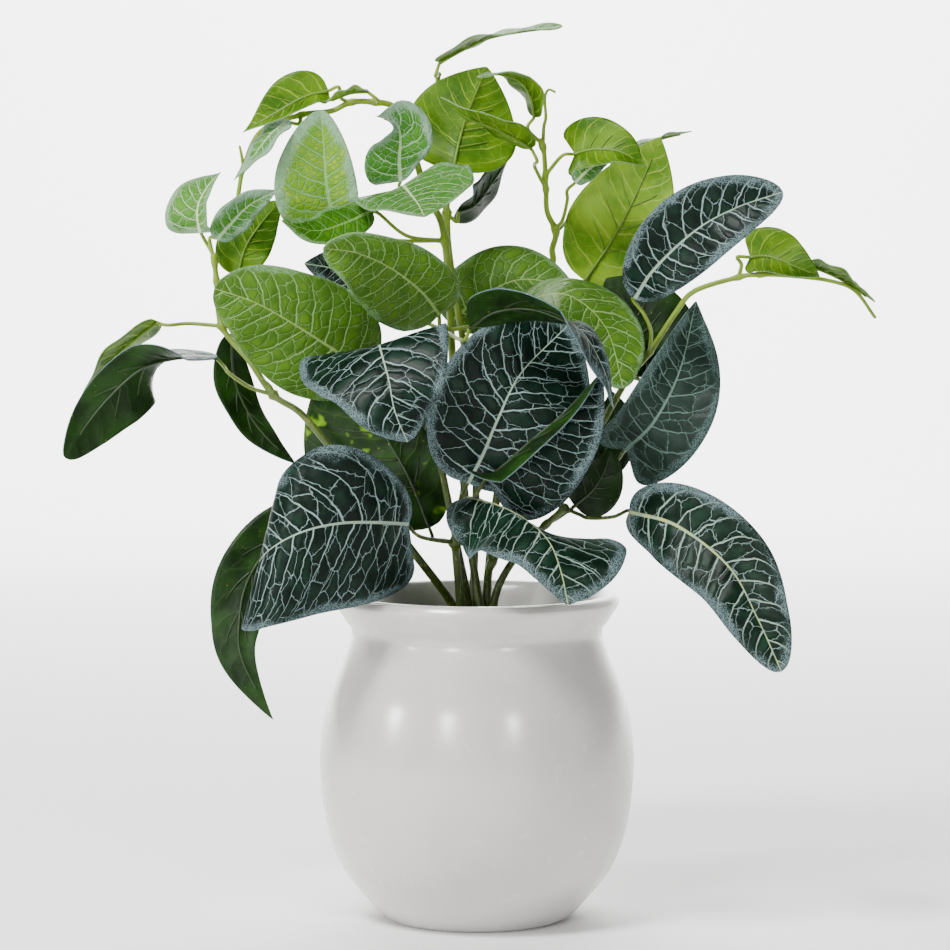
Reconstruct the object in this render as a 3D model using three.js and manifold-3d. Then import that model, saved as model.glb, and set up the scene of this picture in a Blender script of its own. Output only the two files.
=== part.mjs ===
// An artificial nerve plant in a glazed ceramic pot: printed cloth leaves on moulded plastic stems.
// Millimetres, +Z up. The origin is the middle of the pot's base. Seen from the front, +X is to the
// right and +Y points away, to the back.
import * as THREE from "three";
import { mergeVertices } from "three/addons/utils/BufferGeometryUtils.js";
import Module from "manifold-3d";

const wasm = await Module();
wasm.setup();

// The pot, from its flat base up through the belly and the waist to the rolled rim.
const POT_HEIGHT = 131;
const POT_WALL = 4.5;
const POT_FLOOR = 7;
const POT_BASE_RADIUS = 36;
const POT_BELLY_RADIUS = 63.2;
const POT_BELLY_HEIGHT = 65;
const POT_WAIST_RADIUS = 50.4;
const POT_WAIST_HEIGHT = 115;
const POT_RIM_RADIUS = 57;
const POT_RIM_HEIGHT = 127;
const POT_SIDES = 36;

// The filling in the pot, heaped a little in the middle.
const MIX_EDGE_HEIGHT = 111;
const MIX_MIDDLE_HEIGHT = 118;
const CLEARANCE = 0.3;

// Cloth, stalks and stems.
const BLADE_THICKNESS = 0.8;
const STALK_RADIUS = 0.85;
const STALK_END_RADIUS = 0.7;
const STALK_GAP = 1.05;
const STALK_LEAD = 3.5;
const STEM_SIDES = 5;
const STALK_SIDES = 4;
const HOLE_DEPTH = 72;
const HOLE_CLEARANCE = 0.45;
const HOLE_SIDES = 8;

// The blade's waved edge, the part of its foot that lies flat and the part that the lobes take.
const WAVE_HEIGHT = 0.8;
const WAVES = 2.5;
const WAVES_APART = 2;
const FLAT_SHARE = 0.15;
const LOBE_FADE = 8;

// A blade's rows and columns of facets. Rows crowd together at both ends, where the outline turns.
const LARGE_WIDTH = 30;
const LARGE_GRID = [8, 6];
const SMALL_GRID = [6, 4];
const ROW_CROWDING = 0.6;
const NORMAL_STEP = 0.02;
const NORMAL_MARGIN = 0.03;

// Leaves and stems are placed by where they are seen from the front. A point is [across, up, depth]:
// across and up as measured on the upright plane through the pot's middle, and depth behind that
// plane. A nearer point takes less room than it seems to, seen from this far off at this height.
const EYE_DISTANCE = 1320;
const EYE_HEIGHT = 266;

const VIEWER = new THREE.Vector3(0, -1, 0);
const UP = new THREE.Vector3(0, 0, 1);
const SLANTED = new THREE.Vector3(0, -1, 1).normalize();
const LEANING = new THREE.Vector3(0.26, 0, 0.97).normalize();

// Outlines of a blade's half: how far along it is widest, and how full it is at the stalk and at the
// tip. The lower the number, the nearer to the stalk or the fuller.
const BLUNT = { widest: 0.74, foot: 0.6, tip: 0.5 };
const ROUNDED = { widest: 0.95, foot: 0.2, tip: 0.5 };
const SWELLING = { widest: 1.6, foot: 0.35, tip: 0.45 };
const OVAL = { widest: 0.68, foot: 0.6, tip: 0.8 };
const POINTED = { widest: 0.64, foot: 0.6, tip: 1.3 };
const HEART = { widest: 0.55, foot: 0.5, tip: 0.85 };
const HEART_POINTED = { widest: 0.5, foot: 0.5, tip: 1.3 };
const SPOON = { widest: 0.95, foot: 0.65, tip: 0.55 };
const WINGED = { widest: 1.8, foot: 0.5, tip: 0.5 };
const SLENDER = { widest: 0.68, foot: 1.4, tip: 1.2 };
const CUT_AWAY = { widest: 0.42, foot: 0.45, tip: 3 };
const SHOULDERED = { widest: 1.1, foot: 0.6, tip: 1.6 };
const ROUND_HEART = { widest: 0.55, foot: 0.5, tip: 0.55 };

const DARK_GREEN = 0x26392e;
const FRESH_GREEN = 0x6c9638;
const PALE_GREEN = 0x9db9a0;
const STEM_GREEN = 0x4c5a24;
const GLAZE_WHITE = 0xd9d7d3;
const MIX_BROWN = 0x2c2018;

// Stems and the twigs that leave them. A twig joins another shoot at one of its points, by number.
// Thick is the radius at the foot and at the end.
const SHOOTS = {
  left: {
    thick: [1.9, 1.0],
    route: [[-9.5, 74, -2], [-9.5, 119, -2], [-10.5, 127, -3], [-23, 144, -14], [-51, 180, -18],
      [-60, 191, -17], [-71, 203.5, -14], [-81.5, 210.5, -6], [-91, 224, -2], [-102, 238, 2],
      [-104, 256, 2], [-105, 266, 0]],
  },
  left_stub: { joins: "left", at: 7, thick: [1.1, 0.7], route: [[-83, 214, -6], [-86, 216.5, -7]] },
  front: {
    thick: [2.0, 1.2],
    route: [[-6.5, 74, -12], [-6.5, 119, -12], [-7, 130, -13], [-8.8, 151, -16], [-8, 160, -21],
      [-7, 166, -24]],
  },
  centre: {
    thick: [1.8, 1.1],
    route: [[-3, 74, -5], [-3, 119, -5], [-4, 130, -6], [-8, 150, -9], [-14, 180, -12],
      [-18.8, 200, -14], [-17, 222, -8], [-13, 236, 3]],
  },
  top_left: {
    thick: [1.8, 0.9],
    route: [[1.5, 74, -8], [1.5, 119, -8], [0, 132, -6], [-3, 152.5, -3], [-5, 172, 3], [-8.8, 208, 9],
      [-12.8, 272, 10], [-20, 290, 11], [-28, 316, 11], [-33, 325, 8], [-40.5, 327, 6], [-50, 327, 6],
      [-58, 323.5, 7], [-70, 322, 8], [-86, 315.5, 10], [-93, 301, 10], [-95.5, 288, 10]],
  },
  top_left_hook: {
    joins: "top_left", at: 15, thick: [0.8, 0.5],
    route: [[-93.8, 306, 9], [-94.5, 309.5, 8]],
  },
  top: {
    thick: [1.8, 0.9],
    route: [[-2, 74, 6], [-2, 119, 6], [-1.5, 132, 7], [-0.8, 156, 9], [-1, 200, 15], [-10.4, 262, 20],
      [-12, 283, 20], [-13, 300, 27], [-15, 320, 31], [-15.6, 335, 28], [-15.4, 338, 27]],
  },
  top_right: {
    thick: [1.9, 0.9],
    route: [[3.5, 74, 4], [3.5, 119, 4], [4, 132, 6], [8, 170, 16], [16, 210, 28], [24, 240, 40],
      [30, 262, 45], [30, 268.5, 44], [31.5, 275.5, 40], [28, 283.5, 34], [27.5, 292.5, 26],
      [26.8, 306, 16], [25.4, 312, 12.5]],
  },
  tendril: {
    joins: "top_right", at: 11.4, thick: [0.8, 0.5],
    route: [[26.6, 317, 14], [27.4, 321, 14], [27, 328.5, 13], [28.4, 332, 12], [31, 331, 12]],
  },
  right: {
    thick: [1.8, 0.7],
    route: [[3.5, 74, -3], [3.5, 119, -3], [4.2, 132, -1], [6, 143, 4], [20, 165, 12], [38, 190, 14],
      [49, 198, 12], [54, 206, 10], [61, 218, 8], [69, 227.5, 4], [79.5, 243.5, 0], [87, 252, -3],
      [104.5, 257.5, -6], [113, 258.5, -8], [125.5, 258, -8], [141, 256, -8], [151, 252, -6],
      [159, 241.5, -4]],
  },
  right_bud: { joins: "right", at: 3, thick: [1.2, 0.8], route: [[5.4, 146, 2], [5, 148.5, 1]] },
  low_right: {
    thick: [1.8, 1.3],
    route: [[6.5, 74, -13], [6.5, 119, -13], [7.5, 130, -13], [12, 140, -12], [21, 152, -10],
      [35, 165, -6]],
  },
  back: {
    thick: [1.9, 1.0],
    route: [[-6, 74, 13], [-6, 119, 13], [-6.5, 132, 15], [-8, 152, 23], [-4, 180, 34], [2, 205, 42],
      [2, 235, 50], [0, 250, 56]],
  },
};

// Leaves. rib runs from the stalk to the tip, half is the half width left and right of it, and top
// says what the printed side is turned from: the viewer or the sky, by roll degrees along the rib.
// fold raises each half at the rib and curl bends it on towards its edge, left and right.
// on and at name the shoot and the point that the stalk leaves, and via is its way round. Across
// is the way across of a blade that bends round an axis not square to its rib.
const LEAVES = {
  leaf_top_tip: {
    colour: FRESH_GREEN, on: "top", at: 10, top: UP, half: [12, 12], roll: [-4, 6, 18], shape: BLUNT,
    fold: [3, 3], lobe: [4, 4],
    rib: [[-15.5, 343, 20], [-6.5, 348, 18], [5, 353, 15], [19, 355.5, 12], [34, 357, 10]],
  },
  leaf_top_round: {
    colour: FRESH_GREEN, on: "top", at: 6, top: VIEWER, half: [23, 23], roll: [180, 180, 180],
    shape: OVAL, fold: [8, 8], rib: [[-9.5, 300, 14], [-7, 312, 18], [-3.5, 323, 18], [4, 341, 14]],
  },
  leaf_top_shaded: {
    colour: DARK_GREEN, on: "top", at: 6, top: VIEWER, half: [12, 12], roll: [-115, -115, -110],
    shape: POINTED, fold: [0, 0], rib: [[-8, 284, 24], [-1, 287, 29], [6, 296, 32], [13.5, 307, 32]],
  },
  leaf_crook_high: {
    colour: FRESH_GREEN, on: "top_right", at: 11.7, top: VIEWER, half: [10, 10], roll: [115, 110, 65],
    shape: OVAL, fold: [0, 0],
    rib: [[23.5, 321, 8], [22, 329, 6], [17.5, 335.5, 3], [9, 338.5, 0], [0, 337, -2]],
  },
  leaf_crook_low: {
    colour: FRESH_GREEN, on: "top_right", at: 10, via: [[23, 301.5, 15]], top: UP, half: [8, 8],
    roll: [20, 15, 5], shape: OVAL, fold: [10, 10],
    rib: [[22, 309, 7], [14.5, 313.5, 2], [5, 318, -2], [-3, 321, -4], [-14.5, 329, -6]],
  },
  leaf_spray_small: {
    colour: FRESH_GREEN, on: "top_right", at: 10.4, top: VIEWER, half: [11, 13.5], roll: [180, 180, 175],
    shape: HEART, fold: [-50, 5], lobe: [9, 9],
    rib: [[39, 306.5, 11], [47, 308, 6], [57, 307, 2], [66, 302, 0]],
  },
  leaf_spray_broad: {
    colour: FRESH_GREEN, on: "top_right", at: 5, via: [[36, 246, 38]], top: VIEWER, half: [21, 22],
    roll: [180, 180, 180], shape: OVAL, fold: [-8, -8],
    rib: [[43, 256, 32], [55, 274, 39], [65, 294, 43], [73, 313, 46]],
  },
  leaf_spray_far: {
    colour: FRESH_GREEN, on: "top_right", at: 8, via: [[41, 285, 54], [50, 298, 60]], top: UP,
    half: [10, 10], roll: [0, 0, 0], shape: OVAL, fold: [5, 5],
    rib: [[54, 305, 58], [64, 309, 60], [73.5, 313, 62], [85.5, 315.5, 62]],
  },
  leaf_spray_pale: {
    colour: PALE_GREEN, on: "top_right", at: 8.2, via: [[34, 280, 34], [36, 288, 26]], top: VIEWER,
    half: [5, 4], roll: [0, 0, 0], shape: OVAL, fold: [5, 5],
    rib: [[39, 295, 17], [43, 299, 18], [48, 302.5, 19], [54, 305, 20]],
  },
  leaf_right_long: {
    colour: DARK_GREEN, on: "right", at: 9, via: [[69.5, 236, -6], [66.5, 243, -14]], top: VIEWER,
    half: [17, 16.5], roll: [0, 0, 0], shape: SPOON, fold: [10, 30], lobe: [6, 6],
    rib: [[63, 249, -18], [71, 261, -26], [87, 276, -34], [103, 285, -38], [122, 291.5, -40]],
  },
  leaf_right_arched: {
    colour: FRESH_GREEN, on: "right", at: 12, via: [[105.5, 262.5, -5]], top: VIEWER, half: [8, 12],
    roll: [180, 180, 180], shape: HEART, fold: [-40, 0], lobe: [5, 5],
    rib: [[109, 265.5, -4], [116.5, 265.5, -8], [126, 262, -12], [137, 257.5, -14]],
  },
  leaf_right_end: {
    colour: FRESH_GREEN, on: "right", at: 13, via: [[121, 262, -6]], top: UP, half: [10, 10],
    roll: [-15, -10, 0], shape: OVAL, fold: [10, 10],
    rib: [[132.5, 263, -2], [141, 259.5, -4], [150, 254.5, -6], [159, 247.5, -8]],
  },
  leaf_right_curled: {
    colour: DARK_GREEN, on: "low_right", at: 4.5, via: [[34, 162, 2], [44, 170, 8], [54, 181, 7]],
    top: VIEWER, half: [15, 21], roll: [0, 0, 20], shape: HEART, fold: [10, 5], curl: [20, 20],
    lobe: [14, 15],
    rib: [[60, 188.5, -6], [71, 200, -12], [81, 220, -8], [87.5, 248, 4]],
  },
  leaf_right_low: {
    colour: DARK_GREEN, on: "low_right", at: 5, via: [[41, 162.5, -10], [45, 161, -14], [54.5, 161.5, -19]],
    top: VIEWER, half: [18, 17], roll: [0, 0, 0], shape: BLUNT, fold: [8, 8], lobe: [5, 5],
    rib: [[61, 163.5, -22], [80, 158, -34], [101, 141.5, -48], [113, 120, -58], [122.5, 99, -62]],
  },
  leaf_right_shaded: {
    colour: DARK_GREEN, on: "right", at: 8, top: VIEWER, half: [23, 23], roll: [180, 180, 180],
    shape: OVAL, fold: [-5, -5], rib: [[69, 218, 22], [66, 232, 24], [60.5, 246, 26], [51.5, 257, 28]],
  },
  leaf_right_inner: {
    colour: DARK_GREEN, on: "right", at: 5, top: VIEWER, half: [11, 11], roll: [180, 180, 180],
    shape: OVAL, fold: [0, 0], rib: [[45, 178, 20], [52, 190, 20], [55, 200, 19], [54, 212, 17]],
  },
  leaf_low_right_small: {
    colour: DARK_GREEN, on: "low_right", at: 5, top: VIEWER, half: [11, 11], roll: [180, 180, 180],
    shape: OVAL, fold: [0, 0], rib: [[39, 166, -4], [46, 172, -3], [51, 180, -2], [53.5, 189, 0]],
  },
  leaf_front_arched: {
    colour: DARK_GREEN, on: "front", at: 3, via: [[-5, 159, -24]], top: SLANTED, half: [31, 24],
    roll: [-15, -10, 0, 0], shapes: [WINGED, OVAL], lobe: [3, 3],
    fold: [[-60, -65, -68, -60, -30, -5], [-50, -45, -10, 0]],
    rib: [[-4, 169.5, -33], [7, 167, -48], [19, 161, -63], [28.5, 152, -74], [33.5, 140, -80],
      [36.5, 126, -81]],
  },
  leaf_front_left: {
    colour: DARK_GREEN, on: "front", at: 3, via: [[-19, 152.5, -26], [-24.5, 154.5, -33]],
    across: LEANING, half: [37, 35], shapes: [ROUNDED, SWELLING], fold: [0, 0], lobe: [25, 10],
    rib: [[-27.5, 158.5, -38], [-40, 159.2, -52], [-54, 159, -61], [-67, 156.5, -65.5], [-78, 151.8, -64],
      [-86.5, 145, -56], [-88, 137, -48], [-86, 131, -46]],
  },
  leaf_front_back: {
    colour: DARK_GREEN, on: "front", at: 3, via: [[-13, 152, -11], [-17.5, 152.5, -3]], top: VIEWER,
    half: [15, 35], roll: [180, 180, 180], shapes: [OVAL, SPOON], fold: [5, 5],
    rib: [[-19, 157, -3], [-27, 177, 0], [-37, 195, 3], [-54, 227, 6]],
  },
  leaf_front_broad: {
    colour: DARK_GREEN, on: "front", at: 5, top: VIEWER, half: [28, 37], roll: [0, 0, 0],
    shapes: [BLUNT, SPOON], fold: [8, 8], lobe: [7, 7],
    rib: [[-3.5, 175, -26], [3, 188, -29], [8, 200, -29], [17.5, 219, -24], [36, 238, -12]],
  },
  leaf_front_cupped: {
    colour: DARK_GREEN, on: "front", at: 5, via: [[-1.5, 169, -26]], top: VIEWER, half: [11, 26],
    roll: [0, 0, 0], shape: HEART, fold: [110, 5], lobe: [7, 7],
    rib: [[4, 176.5, -36], [11, 182, -41], [21.5, 191.5, -43], [36, 204, -41], [50, 220, -34]],
  },
  leaf_centre_rolled: {
    colour: DARK_GREEN, on: "centre", at: 5, via: [[-26, 212, -18]], top: SLANTED, half: [27, 33],
    roll: [20, 18, 8, 0], shapes: [BLUNT, OVAL], fold: [0, 0], curl: [0, -15], lobe: [2, 2],
    rib: [[-34, 220, -24], [-39, 230.5, -50], [-35.5, 217, -66], [-33, 204, -71], [-28, 191.5, -70]],
  },
  leaf_centre_dark_arch: {
    colour: DARK_GREEN, on: "centre", at: 7, top: UP, half: [14, 17], roll: [-30, -30, -10, 60, 100],
    shape: SLENDER, fold: [0, 0],
    rib: [[-3, 237.5, -29], [8, 244.5, -38], [24, 245, -43], [41, 236.5, -46], [50.5, 221, -43],
      [54.5, 205, -38]],
  },
  leaf_centre_fresh_arch: {
    colour: FRESH_GREEN, on: "centre", at: 7, via: [[0, 238, 10]], top: UP, half: [19, 19],
    roll: [20, 20, 30], shape: BLUNT, fold: [0, 0],
    rib: [[9, 243, 14], [33, 251, 8], [51, 238, 0], [58.5, 213, -8]],
  },
  leaf_centre_tall: {
    colour: FRESH_GREEN, on: "centre", at: 7, top: VIEWER, half: [19, 19], roll: [-30, -30, -30],
    shape: OVAL, fold: [0, 0], rib: [[-11, 239, 26], [1, 249, 30], [17, 256.5, 32], [39, 254, 28]],
  },
  leaf_centre_folded: {
    colour: FRESH_GREEN, on: "centre", at: 6.6, top: VIEWER, half: [20, 17], roll: [0, -15, -20],
    shape: BLUNT, fold: [22, 22], lobe: [5, 5],
    rib: [[-15, 242.5, -12], [-22, 251.5, -22], [-33.5, 260.5, -34], [-47.5, 267, -46], [-61.5, 269, -52]],
  },
  leaf_centre_left: {
    colour: FRESH_GREEN, on: "centre", at: 6, via: [[-30, 215, -9]], top: VIEWER, half: [24, 24],
    roll: [0, -10, -10], shape: BLUNT, fold: [8, 8], lobe: [4, 4],
    rib: [[-43.5, 220, -12], [-54, 226.5, -18], [-74.5, 239.5, -28], [-89, 247.5, -34], [-105, 253, -38]],
  },
  leaf_centre_shaded: {
    colour: DARK_GREEN, on: "centre", at: 7, via: [[-28, 243, 8]], top: VIEWER, half: [10, 10],
    roll: [0, 0, 0], shape: OVAL, fold: [0, 0], rib: [[-42, 251, 12], [-55, 260, 16], [-69, 263, 16]],
  },
  leaf_top_left_tall: {
    colour: PALE_GREEN, on: "top_left", at: 6, via: [[-30, 272, 4], [-46, 274, 0]], top: VIEWER,
    half: [21, 13.5], roll: [0, 0, 0], shape: ROUND_HEART, fold: [5, 25], lobe: [8, 3],
    rib: [[-57.5, 281, 1], [-60, 294, -1], [-61, 308, -2], [-62, 324, -3]],
  },
  leaf_top_left_narrow: {
    colour: FRESH_GREEN, on: "top_left", at: 6, via: [[-28, 274, 3]], top: UP, half: [9, 9],
    roll: [-50, -50, -50], shape: OVAL, fold: [0, 0],
    rib: [[-42, 284, -7], [-53, 279, -11], [-65, 276, -15], [-78, 280, -19]],
  },
  leaf_top_left_twisted: {
    colour: PALE_GREEN, on: "top_left", at: 7, top: VIEWER, half: [14, 13], roll: [0, 0, 5, 20, 30],
    shapes: [CUT_AWAY, SHOULDERED], fold: [5, 5], lobe: [2, 2],
    rib: [[-30.5, 295.5, 6], [-31, 304, 4], [-30.5, 312, 1], [-31.5, 317.5, -2], [-35.5, 320, -6],
      [-40.5, 321.5, -10]],
  },
  leaf_top_left_near: {
    colour: PALE_GREEN, on: "top_left", at: 7, top: SLANTED, half: [25.5, 22], roll: [20, 20, 20],
    shapes: [ROUNDED, HEART], fold: [-4, 22], lobe: [4, 4],
    rib: [[-29.5, 294, 0], [-27, 291, -10], [-23.5, 286.5, -21], [-21, 281.5, -32]],
  },
  leaf_top_left_high: {
    colour: FRESH_GREEN, on: "top_left", at: 11, top: VIEWER, via: [[-54, 328.5, 8]], half: [11.5, 8],
    roll: [180, 180, 180], shape: POINTED, fold: [0, -60],
    rib: [[-59, 331.5, 4], [-69, 328.5, 2], [-79, 323, 0], [-86, 319, -1], [-93.5, 315, -2]],
  },
  leaf_top_left_bud: {
    colour: PALE_GREEN, on: "top_left", at: 10, top: UP, half: [6, 6], roll: [-10, 10, 20], shape: OVAL,
    fold: [10, 10], rib: [[-43.5, 332, -2], [-51, 331, -4], [-60, 327, -6]],
  },
  leaf_top_left_hanging: {
    colour: PALE_GREEN, on: "top_left", at: 13, top: VIEWER, half: [8, 8], roll: [60, 60, 60],
    shape: POINTED, fold: [0, 0], rib: [[-75.5, 320, 1], [-82.5, 314, -3], [-89.5, 305, -4], [-97, 296, -4]],
  },
  leaf_left_upright: {
    colour: PALE_GREEN, on: "left", at: 11, top: VIEWER, half: [13, 8], roll: [-10, -10, 0],
    shape: HEART_POINTED, fold: [5, 50],
    rib: [[-110.5, 275, -1], [-111.5, 282, -3], [-110.5, 288, -3], [-107, 294, -3], [-102, 299.5, -3]],
  },
  leaf_left_netted: {
    colour: PALE_GREEN, on: "left", at: 10.7, top: VIEWER, half: [8, 6.5], roll: [30, 30, 20],
    shape: OVAL, fold: [5, 5], rib: [[-104, 272.5, -7], [-98, 279, -10], [-91, 286, -12], [-80, 292, -13]],
  },
  leaf_left_behind: {
    colour: FRESH_GREEN, on: "left", at: 10, top: VIEWER, half: [10, 12], roll: [180, 180, 180],
    shape: OVAL, fold: [0, 0], rib: [[-95.5, 258, 14], [-92.5, 269, 16], [-86, 279, 18], [-78, 288, 18]],
  },
  leaf_left_far_end: {
    colour: FRESH_GREEN, on: "left", at: 9, via: [[-115, 239, 4]], top: UP, half: [10, 10],
    roll: [12, 12, 12], shape: POINTED, fold: [0, 0], lobe: [2, 2],
    rib: [[-128, 240, 6], [-139, 231.5, 10], [-148, 223, 12], [-156, 212.5, 12], [-163.5, 199, 10]],
  },
  leaf_left_twisted: {
    colour: DARK_GREEN, on: "left", at: 7, via: [[-91, 213.5, -6], [-99, 219, -8]], top: UP,
    half: [11, 17], roll: [-15, -5, 60, 85, 85, 85], shape: BLUNT, fold: [0, 0],
    rib: [[-104, 226, -8], [-119, 226, -14], [-134, 221.5, -20], [-147, 210, -24], [-157, 198, -28],
      [-165, 185, -32]],
  },
  leaf_left_drooping: {
    colour: DARK_GREEN, on: "left", at: 9, top: VIEWER, half: [9, 8], roll: [145, 145, 145], shape: OVAL,
    fold: [0, 0],
    rib: [[-98.5, 235, 10], [-98.5, 224, 13], [-96, 212, 15], [-90, 200, 14], [-82.5, 191, 12],
      [-73, 183, 10]],
  },
  leaf_left_hanging: {
    colour: DARK_GREEN, on: "left", at: 4, via: [[-57, 174, -16]], top: VIEWER, half: [13, 11],
    roll: [180, 180, 180], shapes: [OVAL, POINTED], fold: [0, 0],
    rib: [[-63.5, 166, -16], [-81, 152, -26], [-92, 136, -32], [-95.5, 120, -36], [-94.5, 104, -39],
      [-82, 79.5, -42]],
  },
  leaf_back_low_left: {
    colour: DARK_GREEN, on: "back", at: 4, via: [[-14, 180, 40]], top: UP, half: [20, 20], roll: [0, 0, 0],
    shape: OVAL, fold: [10, 10], rib: [[-24, 180, 46], [-42, 186, 58], [-60, 176, 72], [-72, 158, 80]],
  },
  leaf_back_low_right: {
    colour: DARK_GREEN, on: "back", at: 4, top: UP, half: [18, 18], roll: [0, 0, 0], shape: OVAL,
    fold: [10, 10], rib: [[8, 187, 46], [21, 196, 62], [33, 192, 78], [40, 177, 90]],
  },
  leaf_back_left: {
    colour: FRESH_GREEN, on: "back", at: 5, top: UP, half: [20, 20], roll: [0, 0, 0], shape: OVAL,
    fold: [10, 10], rib: [[-10, 212, 50], [-28, 222, 60], [-48, 222, 72], [-63, 210, 80]],
  },
  leaf_back_right: {
    colour: DARK_GREEN, on: "back", at: 5.6, top: UP, half: [18, 18], roll: [0, 0, 0], shape: OVAL,
    fold: [10, 10], rib: [[12, 224, 56], [30, 232, 66], [47, 228, 76], [58, 214, 80]],
  },
  leaf_back_top: {
    colour: FRESH_GREEN, on: "back", at: 7, top: UP, half: [18, 18], roll: [0, 0, 0], shape: OVAL,
    fold: [10, 10], rib: [[-5, 250, 64], [-18, 255, 76], [-32, 254, 90], [-44, 244, 98]],
  },
  leaf_back_hanging: {
    colour: DARK_GREEN, on: "back", at: 4.6, via: [[-6, 196, 44]], top: UP, half: [18, 18], roll: [0, 0, 0],
    shape: OVAL, fold: [10, 10], rib: [[-12, 204, 52], [-17, 208, 68], [-22, 192, 86], [-24, 168, 94]],
  },
};

// A point as it is seen from the front, put in its true place.
function stand([across, up, depth]) {
  const spread = 1 + depth / EYE_DISTANCE;
  return new THREE.Vector3(across * spread, depth, EYE_HEIGHT + (up - EYE_HEIGHT) * spread);
}

function curveThrough(points) {
  return new THREE.CatmullRomCurve3(points, false, "catmullrom", 0.5);
}

// The value at share u of the way along a short list of evenly spaced values.
function along(values, u) {
  const place = u * (values.length - 1);
  const first = Math.min(Math.floor(place), values.length - 2);
  return THREE.MathUtils.lerp(values[first], values[first + 1], place - first);
}

// Share of the full half width at share u of the rib.
function outline(shape, u) {
  const wave = Math.max(0, Math.sin(Math.PI * u ** shape.widest));
  return wave ** THREE.MathUtils.lerp(shape.foot, shape.tip, u);
}

// The rib's direction, the printed side's normal and the direction across to the right, at share u.
function ribFrame(leaf, u) {
  const forward = leaf.curve.getTangentAt(u);
  if (leaf.across) {
    const normal = leaf.across.clone().cross(forward).normalize();
    return { forward, side: leaf.across, normal };
  }
  const facing = leaf.top.clone().addScaledVector(forward, -leaf.top.dot(forward)).normalize();
  const across = forward.clone().cross(facing);
  const roll = THREE.MathUtils.degToRad(along(leaf.roll, u));
  const side = across.clone().multiplyScalar(Math.cos(roll)).addScaledVector(facing, -Math.sin(roll));
  const normal = facing.multiplyScalar(Math.cos(roll)).addScaledVector(across, Math.sin(roll));
  return { forward, side, normal };
}

// How far a half reaches sideways and up for each millimetre of its width: it leaves the rib at the
// angle start and bends on as an arc to start plus bend.
function arcShares(start, bend) {
  if (Math.abs(bend) < 1e-4) return [Math.cos(start), Math.sin(start)];
  const end = start + bend;
  return [(Math.sin(end) - Math.sin(start)) / bend, (Math.cos(start) - Math.cos(end)) / bend];
}

// A point of the blade: share u along the rib, s from -1 at the left edge to 1 at the right edge.
function bladePoint(leaf, u, s) {
  const { forward, side, normal } = ribFrame(leaf, u);
  const right = s < 0 ? 0 : 1;
  const out = Math.abs(s);
  const share = outline(leaf.shapes[right], u);
  const width = leaf.half[right] * share * out;
  const fold = [leaf.fold[right]].flat();
  const angle = along([...fold, fold.at(-1)], u) * Math.min(1, u / FLAT_SHARE);
  const bend = leaf.curl[right] * share * out;
  const [reach, rise] = arcShares(THREE.MathUtils.degToRad(angle), THREE.MathUtils.degToRad(bend));
  const waveAngle = 2 * Math.PI * WAVES * u + right * WAVES_APART + leaf.phase;
  const ripple = WAVE_HEIGHT * out ** 2 * share * Math.sin(waveAngle);
  const back = leaf.lobe[right] * out ** 1.5 * share * (1 - u) ** LOBE_FADE;
  return leaf.curve.getPointAt(u)
    .addScaledVector(side, Math.sign(s) * width * reach)
    .addScaledVector(normal, width * rise + ripple)
    .addScaledVector(forward, -back);
}

function bladeNormal(leaf, u, s) {
  const near = THREE.MathUtils.clamp(u, NORMAL_MARGIN, 1 - NORMAL_MARGIN);
  const ahead = bladePoint(leaf, near + NORMAL_STEP, s);
  const behind = bladePoint(leaf, near - NORMAL_STEP, s);
  const right = bladePoint(leaf, near, Math.min(1, s + NORMAL_STEP));
  const left = bladePoint(leaf, near, Math.max(-1, s - NORMAL_STEP));
  return right.sub(left).cross(ahead.sub(behind)).normalize();
}

function rowShare(row, rows) {
  const even = row / rows;
  return THREE.MathUtils.lerp(even, 0.5 - 0.5 * Math.cos(Math.PI * even), ROW_CROWDING);
}

// A blade as a closed solid: printed side, underside and the cut edge between them.
function bladeGeometry(leaf) {
  const large = leaf.half[0] + leaf.half[1] > LARGE_WIDTH;
  const [rows, columns] = large ? LARGE_GRID : SMALL_GRID;
  const points = [];
  const put = (u, s) => {
    const middle = bladePoint(leaf, u, s);
    const normal = bladeNormal(leaf, u, s);
    for (const half of [0.5, -0.5])
      points.push(...middle.clone().addScaledVector(normal, half * BLADE_THICKNESS).toArray());
    return points.length / 3 - 2;
  };
  const grid = [];
  for (let row = 0; row <= rows; row++) {
    const pole = row === 0 || row === rows;
    const single = pole ? put(rowShare(row, rows), 0) : 0;
    grid.push(Array.from({ length: columns + 1 }, (_, column) =>
      pole ? single : put(rowShare(row, rows), (2 * column) / columns - 1)));
  }
  const faces = [];
  const face = (a, b, c) => {
    if (a !== b && b !== c && a !== c) faces.push(a, b, c);
  };
  for (let row = 0; row < rows; row++) {
    for (let column = 0; column < columns; column++) {
      const [a, b] = [grid[row][column], grid[row][column + 1]];
      const [d, c] = [grid[row + 1][column], grid[row + 1][column + 1]];
      face(a, b, c);
      face(a, c, d);
      face(b + 1, a + 1, c + 1);
      face(c + 1, a + 1, d + 1);
    }
    const [right, nextRight] = [grid[row][columns], grid[row + 1][columns]];
    face(right + 1, nextRight + 1, nextRight);
    face(right + 1, nextRight, right);
    const [left, nextLeft] = [grid[row][0], grid[row + 1][0]];
    face(left + 1, left, nextLeft);
    face(left + 1, nextLeft, nextLeft + 1);
  }
  const geometry = new THREE.BufferGeometry();
  geometry.setAttribute("position", new THREE.Float32BufferAttribute(points, 3));
  geometry.setIndex(faces);
  return geometry;
}

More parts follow.
